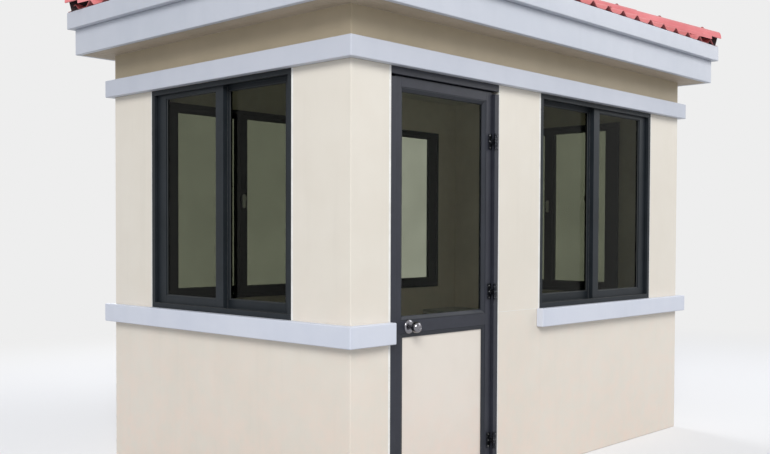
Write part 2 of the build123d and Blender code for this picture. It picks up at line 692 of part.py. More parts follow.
def door():
    """The door's frame, leaf, infill, hinges and knob."""
    glass, panel = leaf_openings()
    rose = knob_rose()
    inner_rose = Pos(0, 0, -LEAF_THICK) * mirror(rose, about=Plane.XY)
    return {
        "door_frame": door_frame(),
        "door_leaf": door_leaf(),
        "door_beads": bead_frame(glass) + bead_frame(panel),
        "door_glass": [infill(glass)],
        "door_panel": [infill(panel)],
        "hinge_frame_leaves": [hinge_frame_leaf(z) for z in hinge_centres()],
        "hinge_door_leaves": [hinge_door_leaf(z) for z in hinge_centres()],
        "knob_roses": [knob_place() * rose, knob_place() * inner_rose],
        "door_knob": [door_knob()],
    }


def booth():
    """Every piece of the booth by the name of its node."""
    shell = {"floor": [floor()], "ceiling": [ceiling()], "worktop": [worktop()]}
    return shell | walls() | trim() | roof() | windows() | door()


def write(pieces):
    """Write one STEP file for each node."""
    os.makedirs("parts", exist_ok=True)
    for name, shapes in pieces.items():
        solids = [solid for shape in shapes for solid in shape.solids()]
        export_step(Compound(solids), f"parts/{name}.step")
        print(name, len(solids))


if __name__ == "__main__":
    write(booth())
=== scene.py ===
"""Looks of a small guard booth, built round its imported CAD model.

Everything is in metres in the booth's own frame: the front, with the door, faces -Y, the origin is the middle of the
foot, and +Z is up. Each wall also has a frame of its own, in which x runs along the wall as seen from outside, y goes
inward and z goes up.
"""
import json
import logging
import math
from collections.abc import Callable, Iterator
from contextlib import contextmanager
from dataclasses import dataclass, field
from enum import Enum

import bmesh
import bpy
import numpy as np
from mathutils import Matrix

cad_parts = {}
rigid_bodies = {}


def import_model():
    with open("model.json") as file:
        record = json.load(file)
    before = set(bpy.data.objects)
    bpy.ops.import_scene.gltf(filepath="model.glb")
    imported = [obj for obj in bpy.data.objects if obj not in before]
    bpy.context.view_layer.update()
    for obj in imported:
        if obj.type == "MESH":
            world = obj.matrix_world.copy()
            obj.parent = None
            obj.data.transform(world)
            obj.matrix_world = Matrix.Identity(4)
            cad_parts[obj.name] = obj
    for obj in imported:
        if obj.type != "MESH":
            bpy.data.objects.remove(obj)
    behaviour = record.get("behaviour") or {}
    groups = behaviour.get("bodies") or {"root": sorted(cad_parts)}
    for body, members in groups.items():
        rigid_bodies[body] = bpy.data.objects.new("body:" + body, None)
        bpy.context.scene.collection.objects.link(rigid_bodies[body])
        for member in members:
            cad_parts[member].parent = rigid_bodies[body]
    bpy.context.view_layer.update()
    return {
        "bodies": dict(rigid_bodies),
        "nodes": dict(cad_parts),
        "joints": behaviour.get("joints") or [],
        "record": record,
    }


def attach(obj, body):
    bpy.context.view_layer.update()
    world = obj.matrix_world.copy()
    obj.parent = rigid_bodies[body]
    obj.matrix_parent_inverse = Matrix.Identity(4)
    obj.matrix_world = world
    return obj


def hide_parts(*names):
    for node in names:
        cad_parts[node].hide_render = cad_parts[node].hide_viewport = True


LOG = logging.getLogger("booth")
Array = np.ndarray
Object = bpy.types.Object
Material = bpy.types.Material
Socket = bpy.types.NodeSocket
Node = bpy.types.Node
NodeTree = bpy.types.NodeTree
Inputs = dict[str | int, Socket | float | str | tuple]
Point = tuple[float, float, float]
Pairs = tuple[tuple[float, float], ...]
Cuts = list[tuple[Array, Array]]
UP = np.array([0.0, 0.0, 1.0])
OUT = np.array([0.0, -1.0, 0.0])
# What a piece keeps from the face that it seats on.
SEAT = 0.0003


# ---------------------------------------------------------------- sizes, walls and bodies

@dataclass(frozen=True)
class BoothSizes:
    """The booth's main sizes, as its CAD model has them, with places along the front in that wall's own x."""

    half_length: float = 1.6
    half_width: float = 1.0
    sill_top: float = 0.92
    sill_height: float = 0.104
    head: float = 2.15
    soffit: float = 2.4
    door_left: float = 0.268
    door_right: float = 1.126
    band_restart: float = 1.5


BOOTH = BoothSizes()


class Wall(Enum):
    """A wall: the corner where its own x starts, the direction of x, and the direction inward."""

    FRONT = ((-1, -1), (1, 0), (0, 1))
    RIGHT = ((1, -1), (0, 1), (-1, 0))
    BACK = ((1, 1), (-1, 0), (0, -1))
    LEFT = ((-1, 1), (0, -1), (1, 0))

    @property
    def side(self) -> str:
        """The wall's name in the names of pieces and nodes."""
        return self.name.lower()

    @property
    def length(self) -> float:
        """The wall's length."""
        return 2 * (BOOTH.half_length if self in (Wall.FRONT, Wall.BACK) else BOOTH.half_width)

    def placed(self, points: Array) -> Array:
        """Carries points from the wall's own frame to the booth's.

        Args:
            points: Points as x, y, z in the last axis.

        Returns:
            The start corner plus x along the wall plus y inward, with z kept.
        """
        corner, along, inward = (np.array(value, float) for value in self.value)
        start = corner * (BOOTH.half_length, BOOTH.half_width)
        flat = start + points[..., :1] * along + points[..., 1:2] * inward
        return np.concatenate([flat, points[..., 2:]], axis=-1)


class Body(Enum):
    """A body of the CAD model, by the name that the model gives it. Each piece moves with one."""

    BOOTH = "booth"
    DOOR = "door"
    KNOB = "knob"


# ---------------------------------------------------------------- making meshes

def read(items: bpy.types.bpy_prop_collection, key: str, width: int, kind: type = np.float32) -> Array:
    """Reads one value of every item of a mesh, such as the places of its points.

    Args:
        items: The mesh's points, edges or loops.
        key: The value's name.
        width: How many numbers the value has.
        kind: The numbers' type.

    Returns:
        One row for each item.
    """
    values = np.empty(len(items) * width, kind)
    items.foreach_get(key, values)
    return values.reshape(-1, width)


def grid_faces(rows: int, columns: int, closed: bool = False) -> list[list[int]]:
    """Joins the points of a grid into four-sided faces.

    Args:
        rows: Number of rows of points.
        columns: Number of points in a row.
        closed: True where the last row joins the first.

    Returns:
        Four point numbers for each cell.
    """
    i, j = np.meshgrid(np.arange(rows if closed else rows - 1), np.arange(columns - 1), indexing="ij")
    near, far = i * columns + j, (i + 1) % rows * columns + j
    return np.stack([near, near + 1, far + 1, far], axis=-1).reshape(-1, 4).tolist()


def linked(name: str, data: bpy.types.ID) -> Object:
    """Makes an object of a mesh, a lamp or a camera and links it to the scene.

    Args:
        name: The object's name.
        data: What it shows.

    Returns:
        The object.
    """
    item = bpy.data.objects.new(name, data)
    bpy.context.scene.collection.objects.link(item)
    return item


def shape(name: str, points: Array, faces: list[list[int]]) -> Object:
    """Puts points and faces into a new object at the origin.

    Args:
        name: The piece's name.
        points: Points with x, y, z in the last axis.
        faces: The point numbers of each face.

    Returns:
        The object.
    """
    mesh = bpy.data.meshes.new(name)
    mesh.from_pydata(points.reshape(-1, 3).tolist(), [], faces)
    mesh.update()
    return linked(name, mesh)


@contextmanager
def edited(piece: Object) -> Iterator[bmesh.types.BMesh]:
    """Opens a piece's mesh for changes and writes them back.

    Args:
        piece: The piece.

    Yields:
        The mesh to change.
    """
    mesh = bmesh.new()
    mesh.from_mesh(piece.data)
    yield mesh
    mesh.to_mesh(piece.data)
    mesh.free()


def closed_up(piece: Object) -> Object:
    """Merges the doubled points of a shell and turns its faces outward.

    Args:
        piece: The shell.

    Returns:
        The same piece.
    """
    with edited(piece) as mesh:
        bmesh.ops.remove_doubles(mesh, verts=mesh.verts, dist=1e-6)
        bmesh.ops.dissolve_degenerate(mesh, edges=mesh.edges, dist=1e-7)
        bmesh.ops.recalc_face_normals(mesh, faces=mesh.faces)
    return piece


def evened(piece: Object, crease: float) -> Object:
    """Shades a piece smoothly, but for its sharper edges.

    Args:
        piece: The piece.
        crease: The angle in degrees past which an edge stays sharp.

    Returns:
        The same piece.
    """
    piece.data.shade_smooth()
    piece.data.set_sharp_from_angle(angle=math.radians(crease))
    return piece


def joined(name: str, pieces: list[Object]) -> Object:
    """Makes one piece of several, with their meshes one after the other.

    Args:
        name: The new piece's name.
        pieces: The pieces, which go.

    Returns:
        The new piece.
    """
    whole = bmesh.new()
    for part in pieces:
        whole.from_mesh(part.data)
        bpy.data.objects.remove(part)
    piece = linked(name, bpy.data.meshes.new(name))
    whole.to_mesh(piece.data)
    whole.free()
    return piece


def skin(name: str, sections: Array, closed: bool = False) -> Object:
    """Joins closed sections of as many points each into a shell.

    Args:
        name: The piece's name.
        sections: The points of each section in turn.
        closed: True where the last section joins the first. Otherwise both ends are closed by a face.

    Returns:
        The closed shell.
    """
    rings = np.concatenate([sections, sections[:, :1]], axis=1)
    rows, columns = rings.shape[:2]
    faces = grid_faces(rows, columns, closed)
    if not closed:
        faces += [[row * columns + k for k in range(columns - 1)] for row in (0, rows - 1)]
    return closed_up(shape(name, rings, faces))


def carried(name: str, profile: Array, path: Array, outward: Array, rise: Array = UP, closed: bool = False) -> Object:
    """Carries a closed profile along a path with mitred corners.

    Point (i, j) is path[i] plus the profile's first number times outward[i] plus its second number times rise.

    Args:
        name: The piece's name.
        profile: The section, as pairs of numbers outward and along rise.
        path: Points of the path.
        outward: The direction of the section's first number at each of them, longer at a mitre.
        rise: The direction of its second number.
        closed: True where the path ends where it starts.

    Returns:
        The closed shell.
    """
    return skin(name, path[:, None] + profile[:, :1] * outward[:, None] + profile[:, 1:] * rise, closed)


def uprights(name: str, wall: Wall, strips: list[tuple[float, Array, float, float]]) -> Object:
    """Upright strips on a wall, as one piece.

    Args:
        name: The piece's name.
        wall: The wall, in whose frame the strips are given.
        strips: For each its x, its section as pairs of x and y from there, its lowest z and its highest.

    Returns:
        The piece.
    """
    return joined(name, [skin(name, wall.placed(np.array([[(x + a, b, z) for a, b in section] for z in ends])))
                         for x, section, *ends in strips])


def turned(name: str, outline: Array, centre: Array, axis: Array, steps: int) -> Object:
    """Turns a half outline about an axis.

    The point at turn a is centre + height * axis + radius * (cos a * side + sin a * other side).

    Args:
        name: The piece's name.
        outline: Pairs of radius and height. It starts and ends on the axis, or the shell stays open there.
        centre: The point of no height.
        axis: The axis as a unit vector.
        steps: Number of points round.

    Returns:
        The shell of revolution.
    """
    side = np.cross(axis, np.eye(3)[0 if abs(axis[0]) < 0.9 else 1])
    side /= np.linalg.norm(side)
    other = np.cross(axis, side)
    turn = np.linspace(0, 2 * math.pi, steps, endpoint=False)[:, None, None]
    round_it = np.cos(turn) * side + np.sin(turn) * other
    points = centre + outline[None, :, 1:] * axis + outline[None, :, :1] * round_it
    return closed_up(shape(name, points, grid_faces(steps, len(outline), True)))


def repeated(name: str, outline: Array, centres: Array, axes: Array, steps: int = 16) -> Object:
    """The same small turned shape at many places.

    Args:
        name: The piece's name.
        outline: Pairs of radius and height from the axis at the tip to the foot.
        centres: The foot of each.
        axes: The axis of each, as unit vectors.
        steps: Number of points round.

    Returns:
        One piece with all of them.
    """
    piece = joined(name, [turned(name, outline, centre, axis, steps) for centre, axis in zip(centres, axes)])
    piece.data.shade_smooth()
    return piece


def smooth_line(points: Array, steps: int) -> Array:
    """A smooth line through points.

    Between two points it is the cubic that passes them in the direction of the line from the point before to the
    point after (Catmull and Rom's rule).

    Args:
        points: The points that it passes.
        steps: Number of steps between two of them.

    Returns:
        The points of the smooth line.
    """
    padded = np.vstack([2 * points[0] - points[1], points, 2 * points[-1] - points[-2]])
    before, start, end, after = padded[:-3, None], padded[1:-2, None], padded[2:-1, None], padded[3:, None]
    t = np.linspace(0, 1, steps, endpoint=False)[None, :, None]
    line = 0.5 * (2 * start + (end - before) * t + (2 * before - 5 * start + 4 * end - after) * t ** 2
                  + (3 * start - before - 3 * end + after) * t ** 3)
    return np.vstack([line.reshape(-1, points.shape[1]), points[-1:]])


def merged_copy(node: Object, name: str, flat: float = 0.6) -> Object:
    """Copies a CAD node, with one point at each corner and flat faces made whole.

    Args:
        node: The CAD node.
        name: The copy's name.
        flat: The angle in degrees up to which neighbouring faces count as one.

    Returns:
        The copy.
    """
    points = np.round(read(node.data.vertices, "co", 3).astype(float), 6)
    merged, number = np.unique(points, axis=0, return_inverse=True)
    triangles = number.reshape(-1)[read(node.data.loops, "vertex_index", 1, np.int32).reshape(-1, 3)]
    whole = (triangles != np.roll(triangles, 1, axis=1)).all(axis=1)
    piece = shape(name, merged, triangles[whole].tolist())
    with edited(piece) as mesh:
        bmesh.ops.dissolve_limit(mesh, angle_limit=math.radians(flat), verts=mesh.verts, edges=mesh.edges)
    return piece


def trimmed(piece: Object, cuts: Cuts) -> Object:
    """Cuts away what lies beyond planes.

    Args:
        piece: The piece.
        cuts: The planes, each a point and the direction in which everything goes.

    Returns:
        The same piece.
    """
    with edited(piece) as mesh:
        for point, away in cuts:
            everything = mesh.verts[:] + mesh.edges[:] + mesh.faces[:]
            bmesh.ops.bisect_plane(mesh, geom=everything, plane_co=point, plane_no=away, clear_outer=True, dist=1e-6)
    return piece


def soften(piece: Object, width: float, steps: int = 2, marked: bool = False) -> Object:
    """Rounds a piece's edges and evens its shading.

    Args:
        piece: The piece.
        width: The width of the rounding.
        steps: Number of facets across it.
        marked: True where only the edges with a bevel weight are rounded.

    Returns:
        The same piece.
    """
    piece.data.shade_smooth()
    rounding = piece.modifiers.new("rounded edges", "BEVEL")
    rounding.width = width
    rounding.segments = steps
    rounding.limit_method = "WEIGHT" if marked else "ANGLE"
    rounding.angle_limit = math.radians(30)
    rounding.miter_outer = "MITER_ARC"
    piece.modifiers.new("even shading", "WEIGHTED_NORMAL").keep_sharp = True
    return piece


def thicken(piece: Object, thickness: float, crease: float) -> Object:
    """Gives an open sheet its thickness below its faces and shades it smoothly.

    Args:
        piece: The sheet, with its faces upward.
        thickness: Its thickness.
        crease: The angle in degrees past which an edge stays sharp.

    Returns:
        The same piece.
    """
    wall = piece.modifiers.new("sheet", "SOLIDIFY")
    wall.thickness = thickness
    wall.offset = -1
    graph = bpy.context.evaluated_depsgraph_get()
    mesh = bpy.data.meshes.new_from_object(piece.evaluated_get(graph))
    piece.modifiers.clear()
    piece.data = mesh
    return evened(piece, crease)


# ---------------------------------------------------------------- node trees

def tint(code: str) -> tuple[float, float, float, float]:
    """Turns a colour code into the linear values that a shader takes.

    Args:
        code: The colour as #RRGGBB.

    Returns:
        Red, green, blue and full cover.
    """
    parts = np.array([int(code[k:k + 2], 16) for k in (1, 3, 5)]) / 255
    linear = np.where(parts <= 0.04045, parts / 12.92, ((parts + 0.055) / 1.055) ** 2.4)
    return (*linear.tolist(), 1.0)


@dataclass
class Tree:
    """A node tree, with short calls that add nodes and join them."""

    tree: NodeTree

    def feed(self, node: Node, inputs: Inputs) -> None:
        """Joins or sets the inputs of a node.

        Args:
            node: The node.
            inputs: For each input's name or number a socket to join, a colour code or another value.
        """
        for key, value in inputs.items():
            if isinstance(value, Socket):
                self.tree.links.new(value, node.inputs[key])
            else:
                node.inputs[key].default_value = tint(value) if isinstance(value, str) else value

    def add(self, kind: str, inputs: Inputs | None = None, **settings: str | bool | NodeTree) -> Node:
        """Adds a node.

        Args:
            kind: The node's type without "ShaderNode".
            inputs: What its inputs get, as feed takes it.
            **settings: Settings of the node itself.

        Returns:
            The node.
        """
        node = self.tree.nodes.new(f"ShaderNode{kind}")
        for key, value in settings.items():
            setattr(node, key, value)
        self.feed(node, inputs or {})
        return node

    def number(self, operation: str, *values: Socket | float, clamp: bool = False) -> Socket:
        """The result of a Math node."""
        return self.add("Math", dict(enumerate(values)), operation=operation, use_clamp=clamp).outputs[0]

    def product(self, first: Socket, second: Socket | float) -> Socket:
        """Two numbers multiplied."""
        return self.number("MULTIPLY", first, second)

    def blend(self, share: Socket | float, first: Socket | str | tuple, second: Socket | str | tuple) -> Socket:
        """A colour between two, by a share."""
        return self.add("Mix", {0: share, 6: first, 7: second}, data_type="RGBA").outputs[2]

    def spread(self, value: Socket, low: float, high: float, to_low: float = 0, to_high: float = 1) -> Socket:
        """A value carried smoothly from one range to another."""
        return self.add("MapRange", {0: value, 1: low, 2: high, 3: to_low, 4: to_high},
                        interpolation_type="SMOOTHSTEP").outputs[0]

    def noise(self, place: Socket, scale: Socket | float, detail: float, roughness: float = 0.5) -> Socket:
        """Noise from 0 to 1 about a half."""
        return self.add("TexNoise", {"Vector": place, "Scale": scale, "Detail": detail,
                                     "Roughness": roughness}).outputs[0]

    def scaled(self, place: Socket, scale: Point) -> Socket:
        """Coordinates multiplied along each axis."""
        return self.add("Mapping", {"Vector": place, "Scale": scale}).outputs[0]

    def axes(self, vector: Socket) -> bpy.types.bpy_prop_collection:
        """The three numbers of a vector."""
        return self.add("SeparateXYZ", {0: vector}).outputs

    def bump(self, height: Socket, strength: float, distance: float = 0.001) -> Socket:
        """The normal that a height bends."""
        return self.add("Bump", {"Strength": strength, "Distance": distance, "Height": height}).outputs[0]

    def use(self, group: NodeTree, **inputs: Socket | float) -> Socket:
        """Places a shared effect and gives its output."""
        return self.add("Group", inputs, node_tree=group).outputs[0]


def new_tree(data: bpy.types.World | Material) -> Tree:
    """Empties the node tree of a new world or material.

    Args:
        data: The world or the material.

    Returns:
        Its tree.
    """
    data.use_nodes = True
    data.node_tree.nodes.clear()
    return Tree(data.node_tree)


class Effects:
    """The effects that several finishes share, each built once as a node group."""

    def __init__(self) -> None:
        """Builds the groups."""
        self.clouds = self.group("soft_clouds", self.cloud_share, Scale=1.5)
        self.grain = self.group("fine_grain", self.grain_height, "Height", Scale=400.0)
        self.splash = self.group("splashed_dirt", self.splash_share, Reach=0.3)
        self.streaks = self.group("water_streaks", self.streak_share, Scale=1.0)
        self.dust = self.group("settled_dust", self.dust_share, Scale=20.0)

    @staticmethod
    def group(name: str, recipe: Callable[[Tree, Socket, Socket], Socket], result: str = "Share",
              **number: float) -> NodeTree:
        """Builds a group.

        Args:
            name: The group's name.
            recipe: What makes the output from the tree, the vector input and the number input.
            result: The output's name.
            **number: The number input's name and usual value.

        Returns:
            The group.
        """
        group = bpy.data.node_groups.new(name, "ShaderNodeTree")
        group.interface.new_socket("Vector", in_out="INPUT", socket_type="NodeSocketVector")
        for key, value in number.items():
            group.interface.new_socket(key, in_out="INPUT", socket_type="NodeSocketFloat").default_value = value
        group.interface.new_socket(result, in_out="OUTPUT", socket_type="NodeSocketFloat")
        start, end = group.nodes.new("NodeGroupInput"), group.nodes.new("NodeGroupOutput")
        tree = Tree(group)
        tree.feed(end, {0: recipe(tree, start.outputs[0], start.outputs[1])})
        return group

    @staticmethod
    def cloud_share(tree: Tree, place: Socket, scale: Socket) -> Socket:
        """Soft clouds from 0 to 1, a few to the metre, with finer ones in them."""
        broad, fine = tree.noise(place, scale, 3.0), tree.noise(place, tree.product(scale, 7.0), 2.0)
        return tree.spread(tree.number("ADD", tree.product(broad, 0.7), tree.product(fine, 0.3)), 0.32, 0.68)

    @staticmethod
    def grain_height(tree: Tree, place: Socket, scale: Socket) -> Socket:
        """The height of a fine sprayed or moulded grain."""
        return tree.noise(place, scale, 2.0, 0.6)

    @staticmethod
    def splash_share(tree: Tree, place: Socket, reach: Socket) -> Socket:
        """Dirt that rain has thrown up: full at the ground, uneven, and gone at its reach."""
        share = tree.number("SUBTRACT", 1.0, tree.number("DIVIDE", tree.axes(place)[2], reach), clamp=True)
        return tree.product(share, tree.spread(tree.noise(place, 9.0, 5.0, 0.65), 0.3, 0.75, 0.15, 1.0))

    @staticmethod
    def streak_share(tree: Tree, place: Socket, scale: Socket) -> Socket:
        """Faint marks of running water: noise drawn out downward."""
        drawn = tree.scaled(place, (14.0, 14.0, 0.9))
        return tree.spread(tree.noise(drawn, scale, 4.0, 0.55), 0.5, 0.78)

    @staticmethod
    def dust_share(tree: Tree, place: Socket, scale: Socket) -> Socket:
        """Dust that has settled on what faces upward, uneven."""
        lying = tree.spread(tree.axes(tree.add("NewGeometry").outputs["Normal"])[2], 0.55, 0.98)
        return tree.product(lying, tree.spread(tree.noise(place, scale, 4.0), 0.3, 0.7, 0.3, 1.0))


# ---------------------------------------------------------------- finishes

@dataclass(frozen=True)
class Finish:
    """A finish: its name and the record's material slot that it goes with."""

    name: str
    slot: str

    def looks(self, tree: Tree, place: Socket, effects: Effects) -> Inputs:
        """Builds what feeds the main shader. Each kind of finish has its own way.

        Args:
            tree: The material's tree.
            place: The Object coordinates.
            effects: The shared effects.

        Returns:
            What the main shader's inputs get.
        """
        raise NotImplementedError

    def material(self, effects: Effects) -> Material:
        """Builds the material.

        Args:
            effects: The shared effects.

        Returns:
            The material.
        """
        material = bpy.data.materials.new(self.name)
        material.use_nodes = True
        tree = Tree(material.node_tree)
        place = tree.add("TexCoord").outputs["Object"]
        tree.feed(material.node_tree.nodes["Principled BSDF"], self.looks(tree, place, effects))
        return material


@dataclass(frozen=True)
class Paint(Finish):
    """A coated or moulded surface: two close tints in soft clouds, a fine grain and the dirt that it has picked up."""

    light: str
    dark: str
    roughness: float
    cloud_scale: float
    grain_scale: float
    grain_depth: float
    streaks: float = 0.0
    streak_tint: str = "#8F8878"
    splash: float = 0.0
    splash_reach: float = 1.0
    splash_tint: str = "#F0D6C6"
    dust: float = 0.0
    dust_tint: str = "#A9A294"
    gloss: float = 0.5
    room_tint: str = ""

    @staticmethod
    def outside(tree: Tree, place: Socket) -> Socket:
        """Tells the outer faces of the walls from those in the room, by how far out x and y are.

        Args:
            tree: The material's tree.
            place: The Object coordinates.

        Returns:
            1 on the outer faces and 0 in the room.
        """
        faces = [tree.spread(tree.number("ABSOLUTE", axis), half - 0.02, half - 0.01)
                 for axis, half in zip(tree.axes(place), (BOOTH.half_length, BOOTH.half_width))]
        return tree.number("MAXIMUM", *faces)

    def looks(self, tree: Tree, place: Socket, effects: Effects) -> Inputs:
        """Clouds of two tints under each kind of dirt in turn, and a grain that also varies the roughness.

        Args:
            tree: The material's tree.
            place: The Object coordinates.
            effects: The shared effects.

        Returns:
            What the main shader's inputs get.
        """
        colour = tree.blend(tree.use(effects.clouds, Vector=place, Scale=self.cloud_scale), self.dark, self.light)
        # Where a room tint is given, the paint's own tints are painted shade on the outer faces, and the room tint is
        # the plain colour inside.
        if self.room_tint:
            colour = tree.blend(self.outside(tree, place), self.room_tint, colour)
        for effect, amount, shade, more in ((effects.streaks, self.streaks, self.streak_tint, {}),
                                            (effects.splash, self.splash, self.splash_tint,
                                             {"Reach": self.splash_reach}),
                                            (effects.dust, self.dust, self.dust_tint, {})):
            if amount:
                share = tree.product(tree.use(effect, Vector=place, **more), amount)
                colour = tree.blend(share, colour, shade)
        grain = tree.use(effects.grain, Vector=place, Scale=self.grain_scale)
        rough = tree.spread(grain, 0.2, 0.8, self.roughness - 0.05, self.roughness + 0.07)
        return {"Base Color": colour, "Roughness": rough, "Normal": tree.bump(grain, self.grain_depth),
                "Specular IOR Level": self.gloss}


@dataclass(frozen=True)
class RoofTile(Finish):
    """Moulded roof sheet in soft clouds of tint, with pans that are darker than the rolls."""

    light: str
    dark: str
    pan_share: float
    pan_tint: str = "#A8524F"
    dust: float = 0.10
    dust_tint: str = "#C9B7A8"

    def looks(self, tree: Tree, place: Socket, effects: Effects) -> Inputs:
        """Clouds of two tints, dirt by the attribute pan, 1 in the pans and 0 on the crests, and a little dust.

        Args:
            tree: The material's tree.
            place: The Object coordinates.
            effects: The shared effects.

        Returns:
            What the main shader's inputs get.
        """
        clouds = tree.use(effects.clouds, Vector=place, Scale=2.4)
        pan = tree.add("Attribute", attribute_name="pan").outputs["Fac"]
        dirt = tree.product(pan, tree.spread(tree.noise(place, 60.0, 4.0), 0.25, 0.75, 0.4, 1.0))
        clean = tree.blend(clouds, self.dark, self.light)
        colour = tree.blend(tree.product(dirt, self.pan_share), clean, self.pan_tint)
        dust = tree.product(tree.use(effects.dust, Vector=place, Scale=9.0), self.dust)
        grain = tree.use(effects.grain, Vector=place, Scale=350.0)
        return {"Base Color": tree.blend(dust, colour, self.dust_tint), "Normal": tree.bump(grain, 0.12),
                "Roughness": tree.spread(clouds, 0.0, 1.0, 0.52, 0.42)}


@dataclass(frozen=True)
class TintedGlass(Finish):
    """Tinted glass with a faint dry film."""

    colour: str
    film: str
    refraction: float = 1.12

    def looks(self, tree: Tree, place: Socket, effects: Effects) -> Inputs:
        """Clear glass that bends and mirrors little, with clouds of the film.

        Args:
            tree: The material's tree.
            place: The Object coordinates.
            effects: The shared effects.

        Returns:
            What the main shader's inputs get.
        """
        clouds = tree.use(effects.clouds, Vector=place, Scale=3.0)
        return {"Base Color": tree.blend(clouds, self.film, self.colour), "Roughness": 0.0,
                "Transmission Weight": 1.0, "IOR": self.refraction}


@dataclass(frozen=True)
class Steel(Finish):
    """Turned or rolled steel: brushed rings or lines, and brighter worn spots where it is coated."""

    colour: str
    worn: str
    roughness: float
    wear: float
    brush: Point = (60.0, 60.0, 900.0)

    def looks(self, tree: Tree, place: Socket, effects: Effects) -> Inputs:
        """Worn spots over one tint, and drawn-out noise as the brushing.

        Args:
            tree: The material's tree.
            place: The Object coordinates.
            effects: The shared effects. Not used here.

        Returns:
            What the main shader's inputs get.
        """
        lines = tree.noise(tree.scaled(place, self.brush), 1.0, 3.0)
        worn = tree.product(tree.spread(tree.noise(place, 140.0, 4.0), 0.5, 0.68), self.wear)
        rough = tree.spread(lines, 0.25, 0.75, self.roughness - 0.07, self.roughness + 0.1)
        return {"Base Color": tree.blend(worn, self.colour, self.worn), "Roughness": rough,
                "Normal": tree.bump(lines, 0.05, 0.0005), "Metallic": 1.0}


@dataclass(frozen=True)
class SheetFloor(Finish):
    """Sheet floor covering: grey with fine light and dark flecks and scuffs."""

    ground: str = "#8B8C89"
    light_fleck: str = "#A5A69F"
    dark_fleck: str = "#75777A"
    scuff: str = "#6E6A63"

    def looks(self, tree: Tree, place: Socket, effects: Effects) -> Inputs:
        """Each cell of a fine pattern is a fleck, and clouds are the scuffs.

        Args:
            tree: The material's tree.
            place: The Object coordinates.
            effects: The shared effects.

        Returns:
            What the main shader's inputs get.
        """
        cells = tree.add("TexVoronoi", {"Vector": place, "Scale": 260.0})
        share = tree.spread(tree.axes(cells.outputs["Color"])[0], 0.1, 0.9)
        fleck = tree.blend(share, self.dark_fleck, self.light_fleck)
        scuffs = tree.use(effects.clouds, Vector=place, Scale=2.0)
        colour = tree.blend(tree.product(scuffs, 0.25), tree.blend(0.45, self.ground, fleck), self.scuff)
        return {"Base Color": colour, "Roughness": tree.spread(scuffs, 0.0, 1.0, 0.35, 0.5)}


@dataclass(frozen=True)
class JointedPanel(Finish):
    """A panel lining with fine joint lines across it at an even pitch."""

    pitch: float = 0.3
    line: float = 0.0015
    light: str = "#DAD9D2"
    dark: str = "#CFCEC6"
    joint_tint: str = "#77756E"

    def looks(self, tree: Tree, place: Socket, effects: Effects) -> Inputs:
        """A joint is where x over the pitch is nearly a whole number.

        Args:
            tree: The material's tree.
            place: The Object coordinates.
            effects: The shared effects.

        Returns:
            What the main shader's inputs get.
        """
        half = self.pitch / 2
        share = tree.number("PINGPONG", tree.number("ADD", tree.axes(place)[0], half), half)
        joint = tree.spread(share, 0.0, self.line, 1.0, 0.0)
        colour = tree.blend(tree.use(effects.clouds, Vector=place), self.dark, self.light)
        return {"Base Color": tree.blend(tree.product(joint, 0.6), colour, self.joint_tint),
                "Normal": tree.bump(tree.number("SUBTRACT", 1.0, joint), 0.5, 0.002), "Roughness": 0.6}


def coated(name: str, light: str, dark: str, streaks: float) -> Paint:
    """The smooth pale coating of the bands and the cornice."""
    return Paint(name, "pale_trim", light, dark, 0.45, 1.1, 420, 0.06, streaks, "#9BA0A6")


